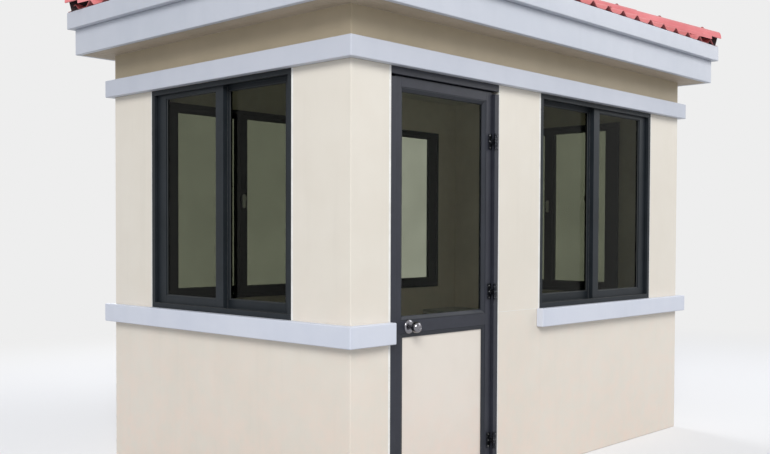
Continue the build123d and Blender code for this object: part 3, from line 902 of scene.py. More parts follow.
class Look(Enum):
    """The booth's finishes.

    The four numbers after a paint's tints are its roughness, clouds and grains to the metre, and the grain's depth.
    """

    WALL = Paint("cream_wall_paint", "wall_panel", "#E2DCD0", "#DDD6C9", 0.55, 0.9, 260, 0.10, streaks=0.04,
                 splash=0.55, splash_reach=1.2)
    TRIM = coated("bluish_white_paint", "#D2D6E0", "#CACFDB", 0.05)
    # Painted shade: the cornice is the same paint as the bands, tinted darker for the shade that lies on it.
    CORNICE = coated("cornice_paint", "#C1C5CE", "#B9BEC8", 0.06)
    # Painted shade: the outer faces of the strip over the openings are the wall paint tinted darker and browner for
    # the shade under the cornice; room_tint is the plain wall tint in the room.
    HEAD_PANEL = Paint("shaded_head_panel", "wall_panel", "#B2A48B", "#A89B82", 0.55, 0.9, 260, 0.10,
                       room_tint="#E0DACE")
    # Painted shade: the band over the windows is the same paint as the sill band, tinted darker for the cornice's
    # shade on it.
    HEAD_BAND = coated("band_paint", "#C0C4CE", "#B8BDC8", 0.05)
    # Painted shade: the soffit boards are tinted darker and browner than the pale trim for the shade under the
    # cornice.
    SOFFIT = Paint("soffit_board", "pale_trim", "#B4A694", "#A79A87", 0.6, 2.5, 300, 0.08)
    TILE = RoofTile("roof_tile_sheet", "roof_sheet", "#DE8283", "#C96E6E", 0.45)
    CAP = RoofTile("hip_and_ridge_cap", "roof_sheet", "#E0888A", "#CE7375", 0.2)
    SCREW_CAP = Paint("screw_cap", "roof_sheet", "#9C4744", "#8A3C3A", 0.4, 40, 900, 0.05)
    # The foam fillers are real parts; their dark maroon tint is also painted shade for the hollow under the caps' open
    # ends.
    FILLER = Paint("foam_filler", "roof_sheet", "#3B2A2B", "#2C1F20", 0.9, 30, 900, 0.4)
    FRAME = Paint("dark_powder_coat", "dark_frame", "#24292E", "#1E2327", 0.45, 6, 1400, 0.12, dust=0.15,
                  gloss=0.18)
    DOOR_FRAME = Paint("anthracite_powder_coat", "dark_frame", "#30323B", "#2A2C34", 0.42, 6, 1400, 0.12,
                       dust=0.15, gloss=0.28)
    BEAD = Paint("glazing_bead", "gasket_strip", "#2C2F36", "#26292F", 0.5, 8, 1200, 0.08, gloss=0.28)
    GLASS = TintedGlass("tinted_glass", "tinted_glass", "#A0A395", "#979A8C")
    DOOR_GLASS = TintedGlass("door_pane_glass", "tinted_glass", "#EEF0E9", "#E5E7E0")
    DOOR_PANEL = Paint("cream_door_panel", "door_infill", "#E3DBD0", "#DED5C9", 0.5, 1.5, 300, 0.08, splash=0.5,
                       splash_reach=0.7, splash_tint="#F2D2C2")
    GASKET = Paint("rubber_gasket", "gasket_strip", "#24282A", "#1D2022", 0.7, 30, 900, 0.15)
    SEALANT = Paint("white_sealant", "gasket_strip", "#E9E8E4", "#DAD8D2", 0.45, 14, 500, 0.10)
    BRUSH = Paint("brush_pile", "gasket_strip", "#55585B", "#36393B", 0.9, 60, 2500, 0.6)
    LATCH = Paint("latch_plastic", "pale_plastic", "#F0F0EC", "#E6E6E1", 0.32, 20, 1200, 0.04)
    FLOOR = SheetFloor("sheet_floor", "floor_covering")
    CEILING = JointedPanel("ceiling_panel", "ceiling_panel")
    WORKTOP = Paint("worktop_laminate", "worktop_board", "#B4B6B4", "#A4A6A4", 0.38, 5, 700, 0.05)
    HINGE = Steel("coated_hinge", "hinge_steel", "#2B2D33", "#8D8E90", 0.4, 0.35)
    SCREW = Steel("hinge_screw", "hinge_steel", "#8F9092", "#C9C8C4", 0.3, 0.5)
    # Painted reflection: the knob's steel is tinted darker than bare steel, standing in for the dark surroundings that
    # it mirrors.
    KNOB = Steel("stainless_knob", "knob_steel", "#858489", "#A3A2A6", 0.13, 0.2, (40.0, 900.0, 40.0))
    # Painted shade: the keyway plate is near black for the shade inside the key's slot.
    KEYHOLE = Paint("dark_keyway", "knob_steel", "#17181A", "#101112", 0.6, 50, 900, 0.1)


# ---------------------------------------------------------------- sub-assemblies

@dataclass
class SubAssembly:
    """A part of the booth that is built and dressed as one."""

    frame: dict
    materials: dict[Look, Material]

    def settle(self, piece: Object, look: Look, body: Body = Body.BOOTH, node: str = "", slot: str = "") -> None:
        """Gives a piece its finish and its place in the booth, and reports it.

        Args:
            piece: The piece.
            look: Its finish.
            body: The CAD body that it moves with.
            node: The CAD node that it stands for, if any.
            slot: The record's material slot where it isn't the finish's own. It is not used.
        """
        piece.data.materials.clear()
        piece.data.materials.append(self.materials[look])
        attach(piece, body.value)
        if node:
            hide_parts(node)
        LOG.info("%s: %d faces, on %s, %s", piece.name, len(piece.data.polygons), body.value, look.value.name)

    def soft_copy(self, node: str, name: str, width: float, look: Look, body: Body = Body.BOOTH,
                  steps: int = 2) -> None:
        """Replaces a CAD node by a copy of itself with rounded edges.

        Args:
            node: The CAD node.
            name: The piece's name.
            width: The width of the rounding.
            look: Its finish.
            body: The CAD body that it moves with.
            steps: Number of facets across the rounding.
        """
        piece = soften(merged_copy(self.frame["nodes"][node], name), width, steps)
        self.settle(piece, look, body, node)

    def coat(self, node: str, look: Look) -> None:
        """Gives a CAD node that stays as it is a finish.

        Args:
            node: The CAD node.
            look: The finish.
        """
        mesh = self.frame["nodes"][node].data
        mesh.materials.clear()
        mesh.materials.append(self.materials[look])
        LOG.info("%s: CAD node, %s", node, look.value.name)


@dataclass
class Shell(SubAssembly):
    """Walls, floor, ceiling and worktop."""

    corner_round: float = 0.003
    shortest_round: float = 0.01
    worktop_round: float = 0.003
    joint_gap: float = 0.001
    joint_section: Array = field(default_factory=lambda: np.array(
        [(0, 0.0012), (0.0006, 0.0010), (0.0002, 0), (0.0006, -0.0010), (0, -0.0012)]))

    def mark_round_edges(self, piece: Object) -> None:
        """Marks the edges of a wall's copy that show as round: the outer corners and the foot.

        Args:
            piece: The copy.
        """
        mesh = piece.data
        points = read(mesh.vertices, "co", 3)
        start, end = np.moveaxis(points[read(mesh.edges, "vertices", 2, np.int32)], 1, 0)
        middle = np.abs(start + end) / 2
        on_x, on_y, at_foot = (np.abs(middle - (BOOTH.half_length, BOOTH.half_width, 0)) < 1e-4).T
        long = np.linalg.norm(end - start, axis=1) > self.shortest_round
        marked = ((on_x & on_y) | ((on_x | on_y) & at_foot)) & long
        mesh.attributes.new("bevel_weight_edge", "FLOAT", "EDGE").data.foreach_set("value", marked.astype(np.float32))
        mesh.attributes.new("sharp_edge", "BOOLEAN", "EDGE").data.foreach_set("value", ~marked)

    def joint(self) -> Object:
        """The fine joint between the lower and the upper front panel, beside the door.

        It is a flat strip with a hollow middle on the face of the wall.

        Returns:
            The strip.
        """
        path = np.array([(x - BOOTH.half_length, -BOOTH.half_width, BOOTH.sill_top)
                         for x in (BOOTH.door_right + self.joint_gap, BOOTH.band_restart)])
        return carried("front_panel_joint", self.joint_section, path, np.tile(OUT, (2, 1)))

    def build(self) -> None:
        """Builds and dresses the shell."""
        walls = [(f"{wall.side}_wall_{part}", f"{wall.side}_{part}", Look.WALL)
                 for wall in Wall for part in ("apron", "piers")]
        for node, name, look in [*walls, ("wall_heads", "heads_over_openings", Look.HEAD_PANEL)]:
            piece = merged_copy(self.frame["nodes"][node], name)
            self.mark_round_edges(piece)
            self.settle(soften(piece, self.corner_round, 3, True), look, node=node)
        self.settle(self.joint(), Look.SEALANT, slot="wall_panel")
        self.coat("floor", Look.FLOOR)
        self.coat("ceiling", Look.CEILING)
        self.soft_copy("worktop", "worktop_board", self.worktop_round, Look.WORKTOP)


@dataclass
class Trim(SubAssembly):
    """The bands, the soffit and the two steps of the cornice."""

    sill_proud: float = 0.046
    head_height: float = 0.100
    head_proud: float = 0.042
    fascia_inner: float = 0.136
    lower_height: float = 0.152
    lower_proud: float = 0.166
    upper_height: float = 0.100
    upper_proud: float = 0.201
    soffit_thick: float = 0.012
    board: float = 0.0452
    groove: float = 0.0022
    rounding: float = 0.005
    board_round: float = 0.0006

    @staticmethod
    def corners() -> tuple[Array, Array]:
        """The outer corners of the walls, anticlockwise from the front left, and the mitre direction at each."""
        signs = np.array([(-1, -1, 0), (1, -1, 0), (1, 1, 0), (-1, 1, 0)], float)
        return signs * (BOOTH.half_length, BOOTH.half_width, 0), signs

    def ring(self, name: str, profile: Array) -> Object:
        """A profile, as pairs of distance from the wall's face and height, carried right round the booth."""
        return carried(name, profile, *self.corners(), closed=True)

    @staticmethod
    def bar(inner: float, outer: float, low: float, high: float) -> Array:
        """The profile of a plain band."""
        return np.array([(inner, low), (outer, low), (outer, high), (inner, high)])

    def sill_band(self) -> Object:
        """The band under the windows, from before the front window round the booth to the door frame.

        Returns:
            The band.
        """
        path, outward = (values[[1, 2, 3, 0]] for values in self.corners())
        start, end = (np.array([x - BOOTH.half_length, -BOOTH.half_width, 0])
                      for x in (BOOTH.band_restart, BOOTH.door_left - SEAT))
        profile = self.bar(SEAT, self.sill_proud, BOOTH.sill_top - BOOTH.sill_height, BOOTH.sill_top)
        return carried("band_under_windows", profile, np.vstack([start, path, end]), np.vstack([OUT, outward, OUT]))

    def soffit_profile(self) -> Array:
        """Three narrow boards with grooves between them, seen from below.

        Returns:
            The profile, as pairs of distance from the wall's face and height.
        """
        low = BOOTH.soffit + SEAT
        end, top = self.fascia_inner - SEAT, low + self.soffit_thick
        grooves = [(number * self.board + aside * self.groove, low + (aside == 0) * self.groove)
                   for number in (1, 2) for aside in (-1, 0, 1)]
        return np.array([(SEAT, low), *grooves, (end, low), (end, top), (SEAT, top)])

    def build(self) -> None:
        """Builds and dresses the trim."""
        step = BOOTH.soffit + self.lower_height
        bands = (
            ("head_band", "band_over_windows", Look.HEAD_BAND,
             (SEAT, self.head_proud, BOOTH.head, BOOTH.head + self.head_height)),
            ("lower_fascia", "lower_cornice_step", Look.CORNICE,
             (self.fascia_inner, self.lower_proud, BOOTH.soffit, step)),
            ("upper_fascia", "upper_cornice_step", Look.CORNICE,
             (self.fascia_inner, self.upper_proud, step, step + self.upper_height)),
        )
        self.settle(soften(self.sill_band(), self.rounding, 3), Look.TRIM, node="sill_band")
        for node, name, look, sizes in bands:
            self.settle(soften(self.ring(name, self.bar(*sizes)), self.rounding, 3), look, node=node)
        soffit = self.ring("soffit_boards", self.soffit_profile())
        self.settle(soften(soffit, self.board_round, 1), Look.SOFFIT, node="soffit")


@dataclass(frozen=True)
class CapLine:
    """The line that a cap follows, from its lower end to its upper one.

    The slopes beside it fall by `fall` for each unit across, and their crests meet at the height `crest` over it.
    """

    start: Array
    end: Array
    fall: float
    crest: float

    @property
    def length(self) -> float:
        """The line's length."""
        return float(np.linalg.norm(self.end - self.start))

    @property
    def level(self) -> bool:
        """True for the ridge, and not for a hip."""
        return self.end[2] == self.start[2]

    @property
    def axes(self) -> tuple[Array, Array, Array]:
        """The line's own directions.

        Returns:
            The unit vectors along the line, level across it and upward from it.
        """
        along = (self.end - self.start) / self.length
        across = np.cross(along, UP)
        across /= np.linalg.norm(across)
        return along, across, np.cross(across, along)


@dataclass
class Roof(SubAssembly):
    """The hipped roof of moulded tile sheet, with its caps and their screws."""

    pitch: float = math.radians(20)
    eave_out: float = 0.197
    eave_height: float = 2.6523
    wave: float = 0.169
    first_crest: float = 0.113
    roll_half: float = 0.047
    roll_height: float = 0.029
    roll_points: int = 15
    pan_points: int = 5
    sheet: float = 0.004
    shown_sheet: float = 0.003
    course: float = 0.219
    course_step: float = 0.008
    # Points of a course from its lower edge on, as pairs of place and fall.
    course_nose: Pairs = ((0, 0.0026), (0.0016, 0.0006), (0.005, 0), (0.09, 0.0031), (0.16, 0.0058))
    hip_gap: float = 0.006
    cap_half: float = 0.168
    cap_bend: float = 0.062
    cap_crown: float = 0.096
    cap_lift: float = 0.020
    cap_clear: float = 0.001
    cap_chamfer: float = 0.002
    # Points where a cap's wing sweeps up to its crown, as pairs of distance from the bend and height over the wing.
    cap_sweep: Pairs = ((0.012, 0.0), (0.004, 0.001))
    cap_overhang: float = 0.045
    cap_length: float = 0.62
    cap_step: float = 0.004
    # Points of a cap from its lower edge on, as pairs of place and fall.
    cap_nose: Pairs = ((0, 0.0024), (0.0016, 0.0006), (0.005, 0))
    hip_overrun: float = 0.25
    ridge_overrun: float = 0.2
    mitre: float = math.tan(math.radians(22.5))
    filler_half: float = 0.050
    filler_back: float = 0.035
    filler_drop: float = 0.008
    filler_arch: float = 0.15
    screw_rows: tuple[float, float] = (0.11, 0.767)
    screw_room: float = 0.03
    sheet_screw_sink: float = 0.001
    cap_screw_sink: float = 0.0005
    screw_pitch: float = 0.31
    screw_start: float = 0.14
    screw_end: float = 0.1
    wing_screw: float = 0.115
    screw_outline: Array = field(default_factory=lambda: np.array(
        [(0, 0.0100), (0.0055, 0.0092), (0.0095, 0.0066), (0.0112, 0.0030), (0.0150, 0.0022), (0.0172, 0.0012),
         (0.0175, -0.004)]))

    def last_crest(self, wall: Wall) -> float:
        """The middle of the roll nearest a wall's right end, in its own x."""
        return wall.length + self.eave_out - self.first_crest

    def slope_point(self, x: Array, up: Array, height: Array) -> Array:
        """Points of a slope: the eave line, plus a distance up the slope, plus a height off it.

        Args:
            x: The distance along the wall.
            up: The distance up the slope.
            height: The height off the slope.

        Returns:
            The points in the wall's frame.
        """
        y = -self.eave_out + up * math.cos(self.pitch) - height * math.sin(self.pitch)
        z = self.eave_height + up * math.sin(self.pitch) + height * math.cos(self.pitch)
        return np.stack(np.broadcast_arrays(x, y, z), axis=-1)

    @staticmethod
    def lapped(lap: Array, count: int) -> tuple[Array, Array]:
        """Places along laps, one after the other, and the fall at each, from one lap's pairs of place and fall."""
        return (lap[-1, 0] * np.arange(count)[:, None] + lap[:, 0]).reshape(-1), np.tile(lap[:, 1], count)

    def slope(self, wall: Wall, name: str) -> Object:
        """One slope: rolls along the eave, times courses up the slope that each fall by a step and start again.

        A roll is half a cosine wave, with a flat pan beyond it.

        Args:
            wall: The wall below it.
            name: The piece's name.

        Returns:
            The sheet with its thickness.
        """
        over = np.linspace(-self.roll_half, self.roll_half, self.roll_points)
        pan = np.linspace(self.roll_half, self.wave - self.roll_half, self.pan_points)[1:-1]
        spare = self.last_crest(wall) + self.wave
        crests = spare - self.wave * np.arange(math.ceil((spare + self.eave_out) / self.wave) + 2)
        x = np.sort((crests[:, None] + np.concatenate([over, pan])).reshape(-1))
        nearest = (x - self.last_crest(wall)) / self.wave
        offset = (nearest - np.round(nearest)) * self.wave
        share = np.clip(np.abs(offset) / self.roll_half, 0, 1)
        roll = self.roll_height * (0.5 + 0.5 * np.cos(math.pi * share))
        run = (BOOTH.half_width + self.eave_out) / math.cos(self.pitch)
        lap = np.array([*self.course_nose, (self.course, self.course_step)])
        up, drop = self.lapped(lap, math.ceil(run / self.course) + 1)
        points = self.slope_point(x[None, :], up[:, None], self.sheet + roll[None, :] - drop[:, None])
        piece = shape(name, points, grid_faces(len(up), len(x)))
        hollow = np.broadcast_to(1 - roll / self.roll_height, (len(up), len(x))).astype(np.float32)
        piece.data.attributes.new("pan", "FLOAT", "POINT").data.foreach_set("value", hollow.reshape(-1))
        inset = self.hip_gap / math.sqrt(2)
        left, right = (np.array([x, -self.eave_out, 0])
                       for x in (inset - self.eave_out, wall.length + self.eave_out - inset))
        top = np.array([0, BOOTH.half_width - self.hip_gap / 2, 0])
        trimmed(piece, [(left, OUT), (left, np.array([-1.0, 1.0, 0])), (right, np.array([1.0, 1.0, 0])),
                        (top, -OUT)])
        placed = wall.placed(read(piece.data.vertices, "co", 3).astype(float))
        piece.data.vertices.foreach_set("co", placed.astype(np.float32).reshape(-1))
        piece.data.update()
        return thicken(piece, self.shown_sheet, crease=35)

    def cap_lines(self) -> list[CapLine]:
        """The lines of the caps.

        Returns:
            The four hips anticlockwise from the front left, and then the ridge.
        """
        slope = math.sin(self.pitch)
        share = math.sqrt(1 - slope ** 2 / 2)
        crest = self.roll_height + self.sheet
        end = BOOTH.half_length - BOOTH.half_width
        eave = np.array([BOOTH.half_length + self.eave_out, BOOTH.half_width + self.eave_out, self.eave_height])
        peak = np.array([end, 0, self.eave_height + eave[1] * math.tan(self.pitch)])
        lines = [CapLine(eave * side, peak * side, slope / math.sqrt(2) / share, crest / share)
                 for side in ((-1, -1, 1), (1, -1, 1), (1, 1, 1), (-1, 1, 1))]
        return lines + [CapLine(peak * (-1, 1, 1), peak, math.tan(self.pitch), crest / math.cos(self.pitch))]

    def cap(self, name: str, line: CapLine, overrun: float, cuts: Cuts) -> Object:
        """Lapped caps along a line: the section is carried along, and each length falls by a step and starts again.

        Args:
            name: The piece's name.
            line: The line.
            overrun: How far the caps run on past both ends before the cuts.
            cuts: The planes that cut them, each a point and the direction in which everything goes.

        Returns:
            The sheet with its thickness below.
        """
        along, across, upward = line.axes
        profile = self.cap_profile(line)
        reach = line.length + overrun
        lap = np.array([*self.cap_nose, (self.cap_length / 2, self.cap_step / 2), (self.cap_length, self.cap_step)])
        places, drop = self.lapped(lap, math.ceil(reach / self.cap_length))
        drop[:len(self.cap_nose)] = 0
        places, drop = np.append(-overrun, places), np.append(0, drop)
        places, drop = places[places <= reach], drop[places <= reach]
        sideways, upright = profile[None, :, :1] * across, (profile[None, :, 1] - drop[:, None])[..., None] * upward
        points = line.start + places[:, None, None] * along + sideways + upright
        piece = shape(name, points, grid_faces(len(places), len(profile)))
        piece.data.attributes.new("pan", "FLOAT", "POINT")
        return thicken(trimmed(piece, cuts), self.shown_sheet, crease=28)

    def cap_profile(self, line: CapLine) -> Array:
        """The section of a cap: a turned-down lip, a wing along the crests, a round crown, and the same back.

        Args:
            line: The cap's line.

        Returns:
            Pairs of distance across and height.
        """
        def wing(x: float, lift: float) -> tuple[float, float]:
            """A point at a height above the crests."""
            return x, line.crest - line.fall * abs(x) + lift

        over = self.cap_lift + self.sheet
        bend_height = wing(self.cap_bend, over)[1]
        rise = self.cap_crown - bend_height
        radius = (rise ** 2 + self.cap_bend ** 2) / (2 * rise)
        middle = self.cap_crown - radius
        reach = math.atan2(self.cap_bend, bend_height - middle)
        turn = np.linspace(-reach, reach, 25)
        crown = np.stack([radius * np.sin(turn), middle + radius * np.cos(turn)], axis=1)
        half = np.array([wing(-self.cap_half, self.cap_clear), wing(-self.cap_half, over - self.cap_chamfer),
                         wing(-self.cap_half + self.cap_chamfer, over),
                         *(wing(-self.cap_bend - aside, over + lift) for aside, lift in self.cap_sweep)])
        return np.vstack([half, crown[1:-1], half[::-1] * (-1, 1)])

    def hip_caps(self) -> Object:
        """The four hip caps, a little past the eaves, square at the corner and mitred to each other and the ridge.

        Returns:
            The caps as one piece.
        """
        caps = []
        for line in self.cap_lines()[:4]:
            low, high = line.start, line.end
            side = np.sign(low) * (1, 1, 0)
            past = low + self.cap_overhang * side
            cuts = [(past, side * (1, 0, 0)), (past, side * (0, 1, 0)), (low, side), (high, side * (0, -1, 0)),
                    (high, side * (-1, -self.mitre, 0))]
            caps.append(self.cap("hip_cap", line, self.hip_overrun, cuts))
        return joined("hip_cap_lengths", caps)

    def ridge_cap(self) -> Object:
        """The ridge cap, mitred to the hip caps at both ends.

        Returns:
            The cap.
        """
        line = self.cap_lines()[4]
        cuts = [(line.start * (-side_x, 1, 1), np.array([side_x, side_y * self.mitre, 0]))
                for side_x in (-1, 1) for side_y in (-1, 1)]
        return self.cap("ridge_cap_lengths", line, self.ridge_overrun, cuts)

    def fillers(self) -> Object:
        """The dark foam fillers under the caps, which close them a little back from their open ends. Their dark maroon
        tint is also painted shade for the hollow under the caps' ends.

        The section is a block on the two slopes, with a round top below the crown.

        Returns:
            The fillers as one piece.
        """
        turn = np.linspace(self.filler_arch, math.pi - self.filler_arch, 13)
        half = self.filler_half
        bars = []
        for line in self.cap_lines():
            shoulder = line.crest - line.fall * half
            top = self.cap_crown - self.filler_drop - shoulder
            arch = np.stack([half * np.cos(turn), shoulder + top * np.sin(turn)], axis=1)
            foot = -line.fall * half
            along, across, upward = line.axes
            start = line.start + (0 if line.level else self.filler_back) * along
            bars.append(carried("filler", np.vstack([[(0, 0), (half, foot)], arch, [(-half, foot)]]),
                                np.stack([start, line.end]), np.tile(across, (2, 1)), upward))
        return evened(joined("cap_fillers", bars), crease=35)

    def sheet_screws(self, wall: Wall) -> tuple[Array, Array]:
        """The screw caps on every third crest of a slope, at two heights, as far as the hip caps leave room.

        Args:
            wall: The wall below the slope.

        Returns:
            Their feet and their axes.
        """
        crests = self.last_crest(wall) - self.wave * np.arange(1, 30, 3)
        x, up = (each.reshape(-1) for each in np.meshgrid(crests, self.screw_rows))
        y = up * math.cos(self.pitch) - self.eave_out
        room = self.cap_half * math.sqrt(2) + self.screw_room
        inside = (x - y > room) & (wall.length - x - y > room)
        fall = self.course_step * (up % self.course) / self.course
        feet = self.slope_point(x, up, self.sheet + self.roll_height - fall - self.sheet_screw_sink)[inside]
        tip = np.array([(0, -math.sin(self.pitch), math.cos(self.pitch))])
        axis = wall.placed(tip) - wall.placed(np.zeros((1, 3)))
        return wall.placed(feet), np.repeat(axis, len(feet), axis=0)

    def cap_screws(self) -> tuple[Array, Array]:
        """The screw caps along the crowns of the hip caps and both wings of the ridge cap.

        Returns:
            Their feet and their axes.
        """
        feet, axes = [], []
        for line in self.cap_lines():
            along, across, upward = line.axes
            places = np.arange(self.screw_start, line.length - self.screw_end, self.screw_pitch)[:, None]
            step = self.cap_step * (places % self.cap_length) / self.cap_length + self.cap_screw_sink
            wing = line.crest - line.fall * self.wing_screw + self.cap_lift + self.sheet
            for side, height in ((-1, wing), (1, wing)) if line.level else ((0, self.cap_crown),):
                axis = (upward + side * line.fall * across) / math.hypot(1, side * line.fall)
                feet.append(line.start + places * along + side * self.wing_screw * across + (height - step) * upward)
                axes.append(np.repeat(axis[None], len(places), axis=0))
        return np.vstack(feet), np.vstack(axes)

    def build(self) -> None:
        """Builds and dresses the roof."""
        for wall in Wall:
            self.settle(self.slope(wall, f"{wall.side}_tile_sheet"), Look.TILE, node=f"roof_slope_{wall.side}")
            screws = repeated(f"{wall.side}_sheet_screws", self.screw_outline, *self.sheet_screws(wall))
            self.settle(screws, Look.SCREW_CAP)
        self.settle(self.hip_caps(), Look.CAP, node="hip_caps")
        self.settle(self.ridge_cap(), Look.CAP, node="ridge_cap")
        self.settle(self.fillers(), Look.FILLER)
        self.settle(repeated("cap_screws", self.screw_outline, *self.cap_screws()), Look.SCREW_CAP)


@dataclass
class SlidingWindows(SubAssembly):
    """The sliding windows of all four walls, with their gaskets, brush seals and sealant."""

    pane_bite: float = 0.008
    gasket_width: float = 0.005
    gasket_height: float = 0.0045
    gasket_seat: float = 0.0001
    rounding: float = 0.0012
    latch_round: float = 0.0018
    meeting_stile: float = 0.065
    seal_inset: float = 0.008
    seal_depth: tuple[float, float] = (0.0482, 0.0558)
    seal_halves: tuple[float, float] = (0.0025, 0.0018)
    track_depth: float = 0.014
    bead: Array = field(default_factory=lambda: np.array(
        [(0.0001, 0.001), (0.0001, -0.0019), (0.0020, -0.0022), (0.011, 0.0)]))
    # Where the windows of each wall start and end, in its own x.
    spans: dict[Wall, Pairs] = field(default_factory=lambda: {
        Wall.FRONT: ((1.526, 2.814),),
        Wall.RIGHT: ((0.41, 1.61),),
        Wall.BACK: ((0.31, 1.50), (1.70, 2.89)),
        Wall.LEFT: ((0.39, 1.59),),
    })

    def gasket(self, box: Array, face: int) -> Object:
        """One rubber gasket round a pane, on one of its faces.

        Its section is a low quarter round that leans on the sash bar, carried round the pane's clear opening.

        Args:
            box: The pane's lowest and highest corner.
            face: -1 or 1 for the pane's side.

        Returns:
            The gasket.
        """
        thick = int(np.argmin(box[1] - box[0]))
        flat = [1 - thick, 2]
        low, high = (box[0] + self.pane_bite)[flat], (box[1] - self.pane_bite)[flat]
        signs = np.array([(-1, -1), (1, -1), (1, 1), (-1, 1)], float)
        path, outward, rise = np.empty((4, 3)), np.zeros((4, 3)), np.zeros(3)
        path[:, thick] = box[(face + 1) // 2][thick]
        path[:, flat] = np.where(signs < 0, low, high)
        outward[:, flat] = signs
        rise[thick] = face
        turn = np.linspace(0, math.pi / 2, 5)
        curve = np.stack([-self.gasket_width * np.cos(turn), self.gasket_height * np.sin(turn)], axis=1)
        profile = np.vstack([curve, [(-SEAT, self.gasket_height), (-SEAT, self.gasket_seat)]])
        profile[0, 1] = self.gasket_seat
        return carried("gasket", profile, path, outward, rise, True)

    def gaskets(self, wall: Wall) -> Object:
        """The gaskets on both faces of every pane of a wall. A pane is a box of twelve triangles.

        Args:
            wall: The wall.

        Returns:
            The gaskets as one piece.
        """
        mesh = self.frame["nodes"][f"{wall.side}_window_glass"].data
        corners = read(mesh.loops, "vertex_index", 1, np.int32)[:, 0]
        panes = read(mesh.vertices, "co", 3)[corners].reshape(-1, 36, 3).astype(float)
        return joined(f"{wall.side}_pane_gaskets", [
            self.gasket(np.stack([pane.min(axis=0), pane.max(axis=0)]), face) for pane in panes for face in (-1, 1)])

    def sealant(self, wall: Wall) -> Object:
        """The sealant beads between the wall and both sides of each window's frame, as flat fillets.

        Args:
            wall: The wall.

        Returns:
            The beads as one piece.
        """
        return uprights(f"{wall.side}_window_sealant", wall, [
            (x, self.bead * (side, 1), BOOTH.sill_top, BOOTH.head)
            for span in self.spans[wall] for x, side in zip(span, (-1, 1))])

    def brush_seals(self, wall: Wall) -> Object:
        """The pile strips between the two meeting stiles of each window.

        Args:
            wall: The wall.

        Returns:
            The strips as one piece.
        """
        (y0, y1), (foot, tip) = self.seal_depth, self.seal_halves
        section = np.array([(-foot, y0), (foot, y0), (tip, y1), (-tip, y1)])
        aside = self.meeting_stile / 2 - self.seal_inset
        return uprights(f"{wall.side}_brush_seals", wall, [
            (sum(span) / 2 + side * aside, section, BOOTH.sill_top + self.track_depth, BOOTH.head - self.track_depth)
            for span in self.spans[wall] for side in (-1, 1)])

    def build(self) -> None:
        """Builds and dresses the windows."""
        for wall in Wall:
            for node, name in (("frame", "window_tracks"), ("sashes", "sash_bars")):
                self.soft_copy(f"{wall.side}_window_{node}", f"{wall.side}_{name}", self.rounding, Look.FRAME)
            self.coat(f"{wall.side}_window_glass", Look.GLASS)
            self.settle(self.gaskets(wall), Look.GASKET)
            self.settle(self.sealant(wall), Look.SEALANT)
            self.settle(self.brush_seals(wall), Look.BRUSH)
        self.soft_copy("window_latches", "sash_latches", self.latch_round, Look.LATCH, steps=3)


